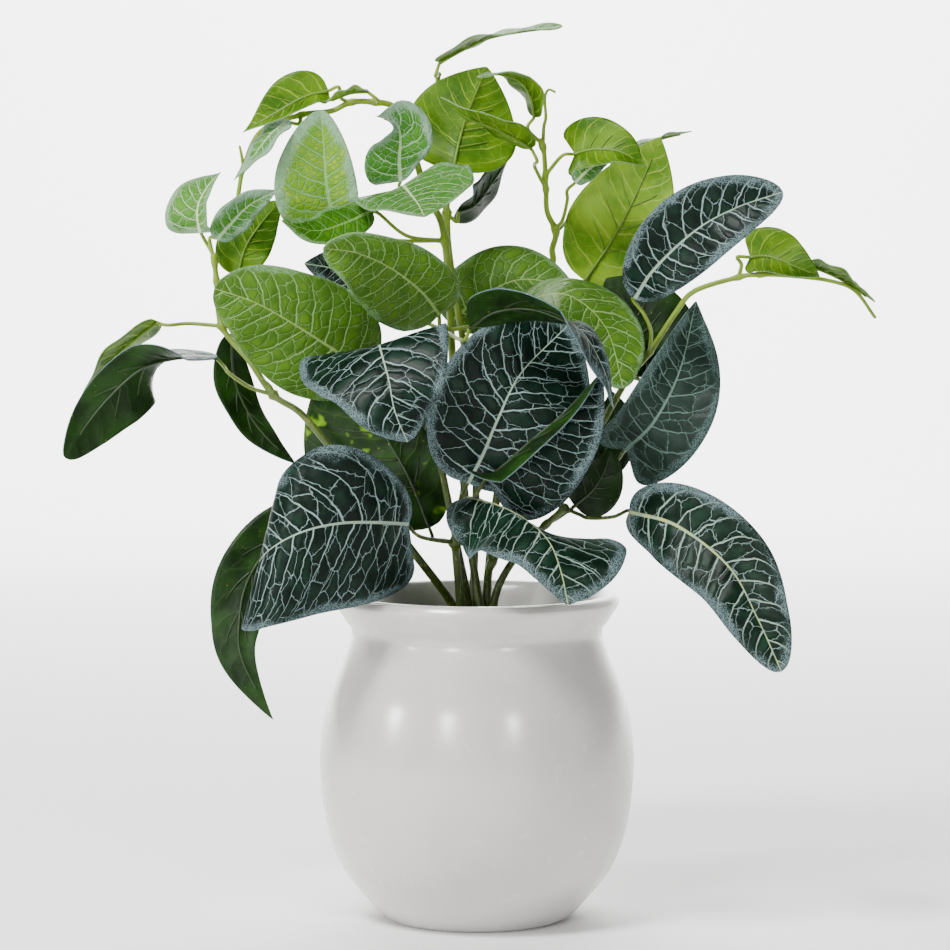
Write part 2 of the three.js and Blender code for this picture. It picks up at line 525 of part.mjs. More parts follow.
// A closed round bar along a curve, tapering from one radius to the other. A ring across it keeps
// square to the bar, turned as little as can be from the ring before.
function barGeometry(curve, radii, sides, steps) {
  const across = new THREE.Vector3(1, 0, 0);
  const points = [];
  for (let step = 0; step <= steps; step++) {
    const middle = curve.getPoint(step / steps);
    const forward = curve.getTangent(step / steps);
    across.addScaledVector(forward, -across.dot(forward)).normalize();
    const over = forward.clone().cross(across);
    const radius = THREE.MathUtils.lerp(radii[0], radii[1], step / steps);
    for (let side = 0; side < sides; side++) {
      const angle = (2 * Math.PI * side) / sides;
      points.push(...middle.clone()
        .addScaledVector(across, radius * Math.cos(angle))
        .addScaledVector(over, radius * Math.sin(angle)).toArray());
    }
  }
  const faces = [];
  for (let step = 0; step < steps; step++)
    for (let side = 0; side < sides; side++) {
      const next = (side + 1) % sides;
      const [a, b] = [step * sides + side, step * sides + next];
      const [d, c] = [a + sides, b + sides];
      faces.push(a, b, c, a, c, d);
    }
  for (let side = 1; side < sides - 1; side++) {
    faces.push(0, side + 1, side);
    const last = steps * sides;
    faces.push(last, last + side, last + side + 1);
  }
  const geometry = new THREE.BufferGeometry();
  geometry.setAttribute("position", new THREE.Float32BufferAttribute(points, 3));
  geometry.setIndex(faces);
  return geometry;
}

// Closed geometry to a solid that can be joined and cut, and back.
function solidOf(geometry) {
  geometry.deleteAttribute("normal");
  geometry.deleteAttribute("uv");
  const merged = mergeVertices(geometry, 1e-4);
  const mesh = new wasm.Mesh({
    numProp: 3,
    vertProperties: merged.attributes.position.array,
    triVerts: new Uint32Array(merged.index.array),
  });
  return new wasm.Manifold(mesh);
}

function geometryOf(solid) {
  const mesh = solid.getMesh();
  const geometry = new THREE.BufferGeometry();
  geometry.setAttribute("position", new THREE.BufferAttribute(mesh.vertProperties, 3));
  geometry.setIndex(new THREE.BufferAttribute(mesh.triVerts, 1));
  return geometry;
}

// Where a stalk meets its leaf: just under the blade, at the foot of the rib.
function stalkEnd(leaf) {
  const { forward, normal } = ribFrame(leaf, 0);
  const end = leaf.curve.getPointAt(0).addScaledVector(normal, -STALK_GAP);
  const before = end.clone().addScaledVector(normal, -STALK_LEAD).addScaledVector(forward, -STALK_LEAD);
  return [before, end];
}

function finish(color, roughness) {
  return new THREE.MeshStandardMaterial({ color, roughness, metalness: 0 });
}

const group = new THREE.Group();
group.name = "potted_nerve_plant";

function add(name, geometry, material) {
  const mesh = new THREE.Mesh(geometry, material);
  mesh.name = name;
  group.add(mesh);
}

// The pot's outer side, then its inner side, from the axis out and back to the axis.
const outerSide = new THREE.SplineCurve([
  new THREE.Vector2(POT_BASE_RADIUS + 6, 5),
  new THREE.Vector2(54.4, 20.8),
  new THREE.Vector2(61, 40),
  new THREE.Vector2(POT_BELLY_RADIUS, POT_BELLY_HEIGHT),
  new THREE.Vector2(60, 88),
  new THREE.Vector2(54.6, 103),
  new THREE.Vector2(POT_WAIST_RADIUS, POT_WAIST_HEIGHT),
  new THREE.Vector2(53, 120.5),
  new THREE.Vector2(POT_RIM_RADIUS, POT_RIM_HEIGHT),
]);
const outerPoints = outerSide.getSpacedPoints(12);
const innerPoints = outerSide.getSpacedPoints(9)
  .filter((point) => point.y > POT_FLOOR + 4 && point.y < POT_WAIST_HEIGHT + 6)
  .map((point) => new THREE.Vector2(point.x - POT_WALL, point.y))
  .reverse();
const potProfile = [
  new THREE.Vector2(0, 0),
  new THREE.Vector2(POT_BASE_RADIUS, 0),
  ...outerPoints,
  new THREE.Vector2(POT_RIM_RADIUS - 1.2, POT_HEIGHT - 1),
  new THREE.Vector2(POT_RIM_RADIUS - 3.5, POT_HEIGHT),
  new THREE.Vector2(POT_RIM_RADIUS - 6, POT_HEIGHT - 1.6),
  ...innerPoints,
  new THREE.Vector2(POT_BASE_RADIUS, POT_FLOOR),
  new THREE.Vector2(0, POT_FLOOR),
];
const potGeometry = new THREE.LatheGeometry(potProfile, POT_SIDES);
potGeometry.rotateX(Math.PI / 2);
add("pot", geometryOf(solidOf(potGeometry)), finish(GLAZE_WHITE, 0.25));

// The filling follows the inside of the pot up to its heaped top.
const mixSide = innerPoints
  .filter((point) => point.y < MIX_EDGE_HEIGHT - 2)
  .map((point) => new THREE.Vector2(point.x - CLEARANCE, point.y))
  .reverse();
const mixProfile = [
  new THREE.Vector2(0, POT_FLOOR + CLEARANCE),
  new THREE.Vector2(POT_BASE_RADIUS - 2, POT_FLOOR + CLEARANCE),
  ...mixSide,
  new THREE.Vector2(POT_WAIST_RADIUS - POT_WALL - 1, MIX_EDGE_HEIGHT),
  new THREE.Vector2(32, MIX_EDGE_HEIGHT + 3.5),
  new THREE.Vector2(16, MIX_MIDDLE_HEIGHT - 1),
  new THREE.Vector2(0, MIX_MIDDLE_HEIGHT),
];
const mixGeometry = new THREE.LatheGeometry(mixProfile, POT_SIDES);
mixGeometry.rotateX(Math.PI / 2);
let mix = solidOf(mixGeometry);

// A place on a shoot, between its points.
function placeOn(name, at) {
  const points = curves[name].points;
  const first = Math.min(Math.floor(at), points.length - 2);
  return points[first].clone().lerp(points[first + 1], at - first);
}

// Every shoot's curve, with a twig's route starting on the shoot that it leaves.
const curves = {};
const rootOf = {};
for (const [name, shoot] of Object.entries(SHOOTS)) {
  const route = shoot.route.map(stand);
  if (shoot.joins) route.unshift(placeOn(shoot.joins, shoot.at));
  curves[name] = curveThrough(route);
  rootOf[name] = shoot.joins ? rootOf[shoot.joins] : name;
}

// Each stem is one moulding with its twigs and leaf stalks.
const mouldings = {};
function joinTo(stem, geometry) {
  const bar = solidOf(geometry);
  mouldings[stem] = mouldings[stem] ? mouldings[stem].add(bar) : bar;
}

for (const [name, shoot] of Object.entries(SHOOTS)) {
  const steps = curves[name].points.length - 1;
  joinTo(rootOf[name], barGeometry(curves[name], shoot.thick, STEM_SIDES, steps));
  if (!shoot.joins) {
    const [across, , depth] = shoot.route[0];
    const hole = curveThrough([stand([across, HOLE_DEPTH, depth]), stand([across, POT_HEIGHT, depth])]);
    const radius = shoot.thick[0] + HOLE_CLEARANCE;
    mix = mix.subtract(solidOf(barGeometry(hole, [radius, radius], HOLE_SIDES, 1)));
  }
}

Object.entries(LEAVES).forEach(([name, leaf], number) => {
  leaf.curve = curveThrough(leaf.rib.map(stand));
  leaf.shapes ??= [leaf.shape, leaf.shape];
  leaf.curl ??= [0, 0];
  leaf.lobe ??= [0, 0];
  leaf.phase = number;
  const way = (leaf.via ?? []).map(stand);
  const stalk = curveThrough([placeOn(leaf.on, leaf.at), ...way, ...stalkEnd(leaf)]);
  const steps = stalk.points.length + 1;
  joinTo(rootOf[leaf.on], barGeometry(stalk, [STALK_RADIUS, STALK_END_RADIUS], STALK_SIDES, steps));
  add(name, bladeGeometry(leaf), finish(leaf.colour, 0.6));
});

add("potting_mix", geometryOf(mix), finish(MIX_BROWN, 0.95));
for (const [name, solid] of Object.entries(mouldings))
  add("stem_" + name, geometryOf(solid), finish(STEM_GREEN, 0.5));

export default group;
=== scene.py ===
import math
import random

import bpy
import numpy as np
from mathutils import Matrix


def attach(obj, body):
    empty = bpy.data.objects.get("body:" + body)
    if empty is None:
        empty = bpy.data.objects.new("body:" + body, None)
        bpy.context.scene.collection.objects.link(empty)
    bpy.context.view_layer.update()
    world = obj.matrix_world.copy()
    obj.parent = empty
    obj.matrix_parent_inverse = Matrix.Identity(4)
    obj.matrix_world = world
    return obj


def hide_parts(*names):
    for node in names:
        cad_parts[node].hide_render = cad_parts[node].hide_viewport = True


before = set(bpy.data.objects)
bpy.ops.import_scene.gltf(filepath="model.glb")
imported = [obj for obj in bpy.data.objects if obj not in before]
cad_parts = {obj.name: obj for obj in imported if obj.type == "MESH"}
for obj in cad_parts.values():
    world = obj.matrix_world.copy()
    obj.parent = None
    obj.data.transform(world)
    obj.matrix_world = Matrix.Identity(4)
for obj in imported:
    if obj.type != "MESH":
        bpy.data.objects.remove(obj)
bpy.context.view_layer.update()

# The pot: one slip-cast ceramic body, round, with a full belly, a waist and a rim that rolls
# outwards. A satin white glaze covers it inside and out, and it stands on a flat foot.
MM = 0.001
pot_sides = 144
pot_outer = [(42, 5), (54.4, 20.8), (61, 40), (63.2, 65), (60, 88), (54.6, 103), (50.4, 115), (53, 120.5),
             (57, 127), (56.6, 129.4), (55.2, 130.7), (53.5, 131), (51.6, 130.3), (49.6, 127.4),
             (47.2, 121.5), (45.9, 115), (50.1, 103), (55.5, 88), (58.7, 65), (56.5, 40), (50, 20.8),
             (41, 10), (36, 7)]
pot_foot, pot_inside_floor = [(0, 0), (33.5, 0), (36, 0.2), (38.6, 1.6)], (0, 7)
pot_steps_a_span = 6
glaze_shaded, glaze_light, glaze_pinhole = "bfbcb8", "c6c4c0", "c3bfb8"
glaze_roughness = (0.22, 0.28)


def hex_colour(code):
    shares = [int(code[i:i + 2], 16) / 255 for i in (0, 2, 4)]
    linear = [c / 12.92 if c <= 0.04045 else ((c + 0.055) / 1.055) ** 2.4 for c in shares]
    return (*linear, 1.0)


def curve_through(points, places):
    """Places on a smooth curve through points, counted in points, and the heading there."""
    points = np.asarray(points, float)
    places = np.asarray(places, float)
    padded = np.vstack([2 * points[0] - points[1], points, 2 * points[-1] - points[-2]])
    first = np.clip(np.floor(places).astype(int), 0, len(points) - 2)
    t = (places - first)[:, None]
    before, start, end, after = (padded[first + step] for step in range(4))
    lead, trail = (end - before) / 2, (after - start) / 2
    bend = 3 * (end - start) - 2 * lead - trail
    twist = 2 * (start - end) + lead + trail
    return start + t * (lead + t * (bend + t * twist)), lead + t * (2 * bend + 3 * t * twist)


def new_piece(name, points, faces, finishes, finish_of_face=None):
    """A smooth-shaded mesh piece from points in millimetres."""
    mesh = bpy.data.meshes.new(name)
    mesh.from_pydata((np.asarray(points) * MM).tolist(), [], faces)
    for finish in finishes:
        mesh.materials.append(finish)
    if finish_of_face is not None:
        mesh.polygons.foreach_set("material_index", np.asarray(finish_of_face, np.int32))
    mesh.polygons.foreach_set("use_smooth", np.ones(len(faces), bool))
    mesh.update()
    piece = bpy.data.objects.new(name, mesh)
    bpy.context.scene.collection.objects.link(piece)
    return piece


def new_finish(name, roughness, **sockets):
    """A material with its shader's numbers set, its node tree and that shader."""
    finish = bpy.data.materials.new(name)
    finish.use_nodes = True
    shader = finish.node_tree.nodes["Principled BSDF"]
    shader.inputs["Roughness"].default_value = roughness
    for socket, value in sockets.items():
        shader.inputs[socket.replace("_", " ")].default_value = value
    return finish, finish.node_tree, shader


def add_node(tree, kind, sockets=None, **settings):
    node = tree.nodes.new(kind)
    for key, value in settings.items():
        setattr(node, key, value)
    for key, value in (sockets or {}).items():
        if isinstance(value, bpy.types.NodeSocket):
            tree.links.new(value, node.inputs[key])
        else:
            node.inputs[key].default_value = value
    return node


def ramp(tree, value, low, high, at_low=0.0, at_high=1.0):
    """A soft step from one value to the other, between low and high."""
    sockets = {"Value": value, "From Min": low, "From Max": high, "To Min": at_low, "To Max": at_high}
    return add_node(tree, "ShaderNodeMapRange", sockets, interpolation_type="SMOOTHSTEP").outputs[0]


def mixed(tree, share, first, second):
    """Two colours mixed; each is a socket or a colour's code."""
    first, second = (hex_colour(c) if isinstance(c, str) else c for c in (first, second))
    sockets = {0: share, 6: first, 7: second}
    return add_node(tree, "ShaderNodeMix", sockets, data_type="RGBA").outputs[2]


def plain_noise(tree, place, scale, detail, output="Fac"):
    """Noise counted in the place's own units."""
    sockets = {"Vector": place, "Scale": scale, "Detail": detail}
    return add_node(tree, "ShaderNodeTexNoise", sockets).outputs[output]


def grain(tree, size_mm, detail, place=None):
    """Noise with lumps of about that size, 0 to 1, fixed to the piece."""
    place = place or add_node(tree, "ShaderNodeTexCoord").outputs["Object"]
    return plain_noise(tree, place, 1 / (size_mm * MM), detail)


def patchy(tree, size_mm, detail, low, high, at_low=0.0, at_high=1.0):
    """A patchy share: noise with lumps of that size, stepped softly between low and high."""
    return ramp(tree, grain(tree, size_mm, detail), low, high, at_low, at_high)


def raise_surface(tree, shader, height, depth_mm, strength=1.0):
    sockets = {"Height": height, "Distance": depth_mm * MM, "Strength": strength}
    bump = add_node(tree, "ShaderNodeBump", sockets)
    tree.links.new(bump.outputs["Normal"], shader.inputs["Normal"])


glaze, tree, shader = new_finish("satin_white_glaze", 0.2, Coat_Weight=0.6, Coat_Roughness=0.19)
shade = mixed(tree, patchy(tree, 38, 3, 0.3, 0.7), glaze_shaded, glaze_light)
pinhole = patchy(tree, 1.1, 1, 0.76, 0.82)
tree.links.new(mixed(tree, pinhole, shade, glaze_pinhole), shader.inputs["Base Color"])
tree.links.new(patchy(tree, 9, 2, 0.2, 0.8, *glaze_roughness), shader.inputs["Roughness"])
raise_surface(tree, shader, grain(tree, 18, 1), 0.12, 0.4)

spans = len(pot_outer) - 1
profile, _ = curve_through(pot_outer, np.linspace(0, spans, spans * pot_steps_a_span + 1))
profile = np.vstack([pot_foot, profile, [pot_inside_floor]])
turns = np.linspace(0, 2 * math.pi, pot_sides, endpoint=False)
pot_points = [(0, 0, profile[0][1])]
for radius, height in profile[1:-1]:
    pot_points += [(radius * math.cos(a), radius * math.sin(a), height) for a in turns]
pot_points.append((0, 0, profile[-1][1]))
pot_faces = []
rings = len(profile) - 2
for side in range(pot_sides):
    after = (side + 1) % pot_sides
    pot_faces.append((0, 1 + after, 1 + side))
    last_ring = 1 + (rings - 1) * pot_sides
    pot_faces.append((last_ring + side, last_ring + after, len(pot_points) - 1))
    for ring in range(rings - 1):
        low, high = 1 + ring * pot_sides, 1 + (ring + 1) * pot_sides
        pot_faces.append((low + side, low + after, high + after, high + side))
pot = new_piece("glazed_pot", pot_points, pot_faces, [glaze])
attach(pot, "root")
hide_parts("pot")

# The filling: dark bark and peat, pressed into the pot and heaped a little in the middle. Loose
# bark chips lie on it, glued down round the stems' feet.
filling_edge, filling_middle = 111, 118
chip_count = 260
chip_reach = 43
chip_sizes = (0.9, 2.6)
chip_long, chip_wide, chip_thick, chip_lift = (0.7, 1.3), (0.4, 0.8), (0.25, 0.5), 0.4
stem_feet = {"left": (-9.5, -2), "front": (-6.5, -12), "centre": (-3, -5), "top_left": (1.5, -8),
             "top": (-2, 6), "top_right": (3.5, 4), "right": (3.5, -3), "low_right": (6.5, -13),
             "back": (-6, 13)}
foot_room = 3.4
bark_dark, bark_light, fibre_tan = "17110c", "4a3524", "7a6048"

bark, tree, shader = new_finish("bark_and_peat", 0.92)
lumps = grain(tree, 2.2, 5)
colour = mixed(tree, ramp(tree, lumps, 0.35, 0.68), bark_dark, bark_light)
fibre = patchy(tree, 0.7, 3, 0.62, 0.7)
tree.links.new(mixed(tree, fibre, colour, fibre_tan), shader.inputs["Base Color"])
raise_surface(tree, shader, lumps, 1.2)
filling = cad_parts["potting_mix"]
filling.data.materials.clear()
filling.data.materials.append(bark)


def filling_height(radius):
    return filling_middle - (filling_middle - filling_edge) * (radius / chip_reach) ** 2


draw = random.Random(7)
lump_corners = [(1, 0, 0), (-1, 0, 0), (0, 1, 0), (0, -1, 0), (0, 0, 1), (0, 0, -1)]
lump_faces = [(0, 2, 4), (2, 1, 4), (1, 3, 4), (3, 0, 4), (2, 0, 5), (1, 2, 5), (3, 1, 5), (0, 3, 5)]
chip_points, chip_faces = [], []
while len(chip_points) < chip_count * len(lump_corners):
    radius = chip_reach * math.sqrt(draw.random())
    angle = draw.uniform(0, 2 * math.pi)
    x, y = radius * math.cos(angle), radius * math.sin(angle)
    if min(math.hypot(x - fx, y - fy) for fx, fy in stem_feet.values()) < foot_room:
        continue
    size = draw.uniform(*chip_sizes)
    turn = draw.uniform(0, math.pi)
    first = len(chip_points)
    for cx, cy, cz in lump_corners:
        long = size * draw.uniform(*chip_long) * cx
        wide = size * draw.uniform(*chip_wide) * cy
        chip_points.append((x + long * math.cos(turn) - wide * math.sin(turn),
                            y + long * math.sin(turn) + wide * math.cos(turn),
                            filling_height(radius) + chip_lift + size * draw.uniform(*chip_thick) * cz))
    chip_faces += [tuple(first + corner for corner in face) for face in lump_faces]
chips = new_piece("bark_chips", chip_points, chip_faces, [bark])
chips.data.polygons.foreach_set("use_smooth", np.zeros(len(chip_faces), bool))
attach(chips, "root")

# The stems: nine moulded plastic shoots, pushed into the filling, olive below and yellow-green
# above. Each has its twigs, and a raised ring where a twig or a stalk leaves it.
eye_distance, eye_height = 1320, 266
stem_foot_heights = (74, 119)
stem_sides, stem_step, fewest_steps = 14, 1.3, 4
looks_a_point = 40
ring_height, ring_length = 0.28, 1.5
rounded_end = [(0.35, 0.9), (0.65, 0.65), (0.85, 0.3)]
olive_dark, olive_light, green_dark, green_light = "1e2c06", "42560f", "5a7808", "869f20"
streak_green, green_from, green_to = "8f9c34", 0.18, 0.27

# A point of a route is given as it is seen from the front: across, up, and the depth behind the
# pot's middle. A twig joins a shoot at a place counted in that shoot's points.
stems = {
    "left": dict(thick=(1.9, 1.0), route=[
        (-10.5, 127, -3), (-23, 144, -14), (-51, 180, -18), (-60, 191, -17), (-71, 203.5, -14),
        (-81.5, 210.5, -6), (-91, 224, -2), (-102, 238, 2), (-104, 256, 2), (-105, 266, 0)]),
    "left_stub": dict(joins="left", at=7, thick=(1.1, 0.7), route=[(-83, 214, -6), (-86, 216.5, -7)]),
    "front": dict(thick=(2.0, 1.2), route=[
        (-7, 130, -13), (-8.8, 151, -16), (-8, 160, -21), (-7, 166, -24)]),
    "centre": dict(thick=(1.8, 1.1), route=[
        (-4, 130, -6), (-8, 150, -9), (-14, 180, -12), (-18.8, 200, -14), (-17, 222, -8),
        (-13, 236, 3)]),
    "top_left": dict(thick=(1.8, 0.9), route=[
        (0, 132, -6), (-3, 152.5, -3), (-5, 172, 3), (-8.8, 208, 9), (-12.8, 272, 10), (-20, 290, 11),
        (-28, 316, 11), (-33, 325, 8), (-40.5, 327, 6), (-50, 327, 6), (-58, 323.5, 7), (-70, 322, 8),
        (-86, 315.5, 10), (-93, 301, 10), (-95.5, 288, 10)]),
    "top_left_hook": dict(joins="top_left", at=15, thick=(0.8, 0.5),
                          route=[(-93.8, 306, 9), (-94.5, 309.5, 8)]),
    "top": dict(thick=(1.8, 0.9), route=[
        (-1.5, 132, 7), (-0.8, 156, 9), (-1, 200, 15), (-10.4, 262, 20), (-12, 283, 20), (-13, 300, 27),
        (-15, 320, 31), (-15.6, 335, 28), (-15.4, 338, 27)]),
    "top_right": dict(thick=(1.9, 0.9), route=[
        (4, 132, 6), (8, 170, 16), (16, 210, 28), (24, 240, 40), (30, 262, 45), (30, 268.5, 44),
        (31.5, 275.5, 40), (28, 283.5, 34), (27.5, 292.5, 26), (26.8, 306, 16), (25.4, 312, 12.5)]),
    "tendril": dict(joins="top_right", at=11.4, thick=(0.8, 0.5), route=[
        (26.6, 317, 14), (27.4, 321, 14), (27, 328.5, 13), (28.4, 332, 12), (31, 331, 12)]),
    "right": dict(thick=(1.8, 0.7), route=[
        (4.2, 132, -1), (6, 143, 4), (20, 165, 12), (38, 190, 14), (49, 198, 12), (54, 206, 10),
        (61, 218, 8), (69, 227.5, 4), (79.5, 243.5, 0), (87, 252, -3), (104.5, 257.5, -6),
        (113, 258.5, -8), (125.5, 258, -8), (141, 256, -8), (151, 252, -6), (159, 241.5, -4)]),
    "right_bud": dict(joins="right", at=3, thick=(1.2, 0.8), route=[(5.4, 146, 2), (5, 148.5, 1)]),
    "low_right": dict(thick=(1.8, 1.3), route=[
        (7.5, 130, -13), (12, 140, -12), (21, 152, -10), (35, 165, -6)]),
    "back": dict(thick=(1.9, 1.0), route=[
        (-6.5, 132, 15), (-8, 152, 23), (-4, 180, 34), (2, 205, 42), (2, 235, 50), (0, 250, 56)]),
}


def lengths_along(line):
    steps = np.linalg.norm(np.diff(line, axis=0), axis=1)
    return np.concatenate([[0], np.cumsum(steps)])


def stand(point):
    """A point as it is seen from the front, put in its true place."""
    across, up, depth = point
    spread = 1 + depth / eye_distance
    return np.array((across * spread, depth, eye_height + (up - eye_height) * spread))


def unit(vectors):
    return vectors / np.maximum(np.linalg.norm(vectors, axis=-1, keepdims=True), 1e-9)


def round_bar(places, radii, sides):
    """A closed round bar along places with a rounded end, as points and faces."""
    headings = unit(np.gradient(places, axis=0))
    end, tip = places[-1], radii[-1]
    places = np.vstack([places] + [end + headings[-1] * tip * far for far, _ in rounded_end])
    radii = np.concatenate([radii, [tip * share for _, share in rounded_end]])
    headings = np.vstack([headings] + [headings[-1]] * len(rounded_end))
    across = np.array((1.0, 0.02, 0.01))
    angles = np.linspace(0, 2 * math.pi, sides, endpoint=False)
    points = []
    for place, heading, radius in zip(places, headings, radii):
        across = unit(across - heading * across.dot(heading))
        over = np.cross(heading, across)
        points.append(place + radius * (np.outer(np.cos(angles), across) + np.outer(np.sin(angles), over)))
    faces = []
    last = (len(places) - 1) * sides
    for ring in range(0, last, sides):
        for k in range(sides):
            after = (k + 1) % sides
            faces.append((ring + k, ring + after, ring + sides + after, ring + sides + k))
    faces.append(tuple(range(sides - 1, -1, -1)))
    faces.append(tuple(range(last, last + sides)))
    return np.vstack(points), faces


plastic, tree, shader = new_finish("moulded_stem_plastic", 0.45, Specular_IOR_Level=0.45)
where = add_node(tree, "ShaderNodeTexCoord").outputs["Object"]
height = add_node(tree, "ShaderNodeSeparateXYZ", {0: where}).outputs[2]
low_olive = mixed(tree, grain(tree, 7, 3), olive_dark, olive_light)
high_green = mixed(tree, grain(tree, 6, 3), green_dark, green_light)
colour = mixed(tree, ramp(tree, height, green_from, green_to), low_olive, high_green)
streak_place = add_node(tree, "ShaderNodeMapping", {"Vector": where, "Scale": (1, 1, 0.18)}).outputs[0]
streak = grain(tree, 0.9, 2, streak_place)
colour = mixed(tree, ramp(tree, streak, 0.55, 0.75, 0, 0.4), colour, streak_green)
tree.links.new(colour, shader.inputs["Base Color"])
tree.links.new(ramp(tree, streak, 0.3, 0.7, 0.36, 0.55), shader.inputs["Roughness"])
raise_surface(tree, shader, streak, 0.25, 0.7)

routes = {}
for name, stem in stems.items():
    if "joins" in stem:
        start = [curve_through(routes[stem["joins"]], [stem["at"]])[0][0]]
    else:
        across, depth = stem_feet[name]
        start = [stand((across, up, depth)) for up in stem_foot_heights]
    routes[name] = np.array(start + [stand(point) for point in stem["route"]])


def stem_bar(name, ring_places):
    """A shoot with a raised ring at each of those places, counted in its route's points."""
    route = routes[name]
    fine = np.linspace(0, len(route) - 1, looks_a_point * len(route))
    line, _ = curve_through(route, fine)
    lengths = lengths_along(line)
    steps = max(fewest_steps, int(lengths[-1] / stem_step))
    at_length = np.linspace(0, lengths[-1], steps + 1)
    places = np.interp(at_length, lengths, fine)
    thick = stems[name]["thick"]
    radii = thick[0] + (thick[1] - thick[0]) * places / (len(route) - 1)
    for ring in ring_places:
        apart = at_length - np.interp(ring, fine, lengths)
        radii = radii + ring_height * radii[0] * np.exp(-(apart / ring_length) ** 2)
    return round_bar(curve_through(route, places)[0], radii, stem_sides)


def joined(parts):
    """Several bars as one list of points and faces."""
    points, faces = [], []
    first = 0
    for part_points, part_faces in parts:
        points.append(part_points)
        faces += [tuple(first + corner for corner in face) for face in part_faces]
        first += len(part_points)
    return np.vstack(points), faces


# The leaves: die-cut cloth blades, printed on the upper side and welded to a plastic stalk and rib
# underneath. Each was pressed warm to its own bend, fold and curl.
cloth_thickness = 0.5
wave_height, waves, waves_apart = 0.8, 2.5, 2
flat_share, lobe_power, lobe_fade = 0.15, 1.5, 8
row_crowding, row_spacing, row_limits = 0.6, 1.15, (34, 84)
column_spacing, column_limits = 1.7, (5, 13)
looks_a_rib, normal_step, normal_ends, least_bend = 201, 0.02, (0.03, 0.97), 1e-4
viewer, sky = np.array((0.0, -1, 0)), np.array((0.0, 0, 1))
slanted, leaning = unit(viewer + sky), unit(np.array((0.26, 0, 0.97)))

# An outline says where a half is widest, and how its foot and its tip draw in.
rounded, swelling = (0.95, 0.2, 0.5), (1.6, 0.35, 0.45)
blunt, oval, pointed = (0.74, 0.6, 0.5), (0.68, 0.6, 0.8), (0.64, 0.6, 1.3)
heart, heart_pointed, spoon = (0.55, 0.5, 0.85), (0.5, 0.5, 1.3), (0.95, 0.65, 0.55)
winged, slender, cut_away = (1.8, 0.5, 0.5), (0.68, 1.4, 1.2), (0.42, 0.45, 3)
shouldered, round_heart = (1.1, 0.6, 1.6), (0.55, 0.5, 0.55)

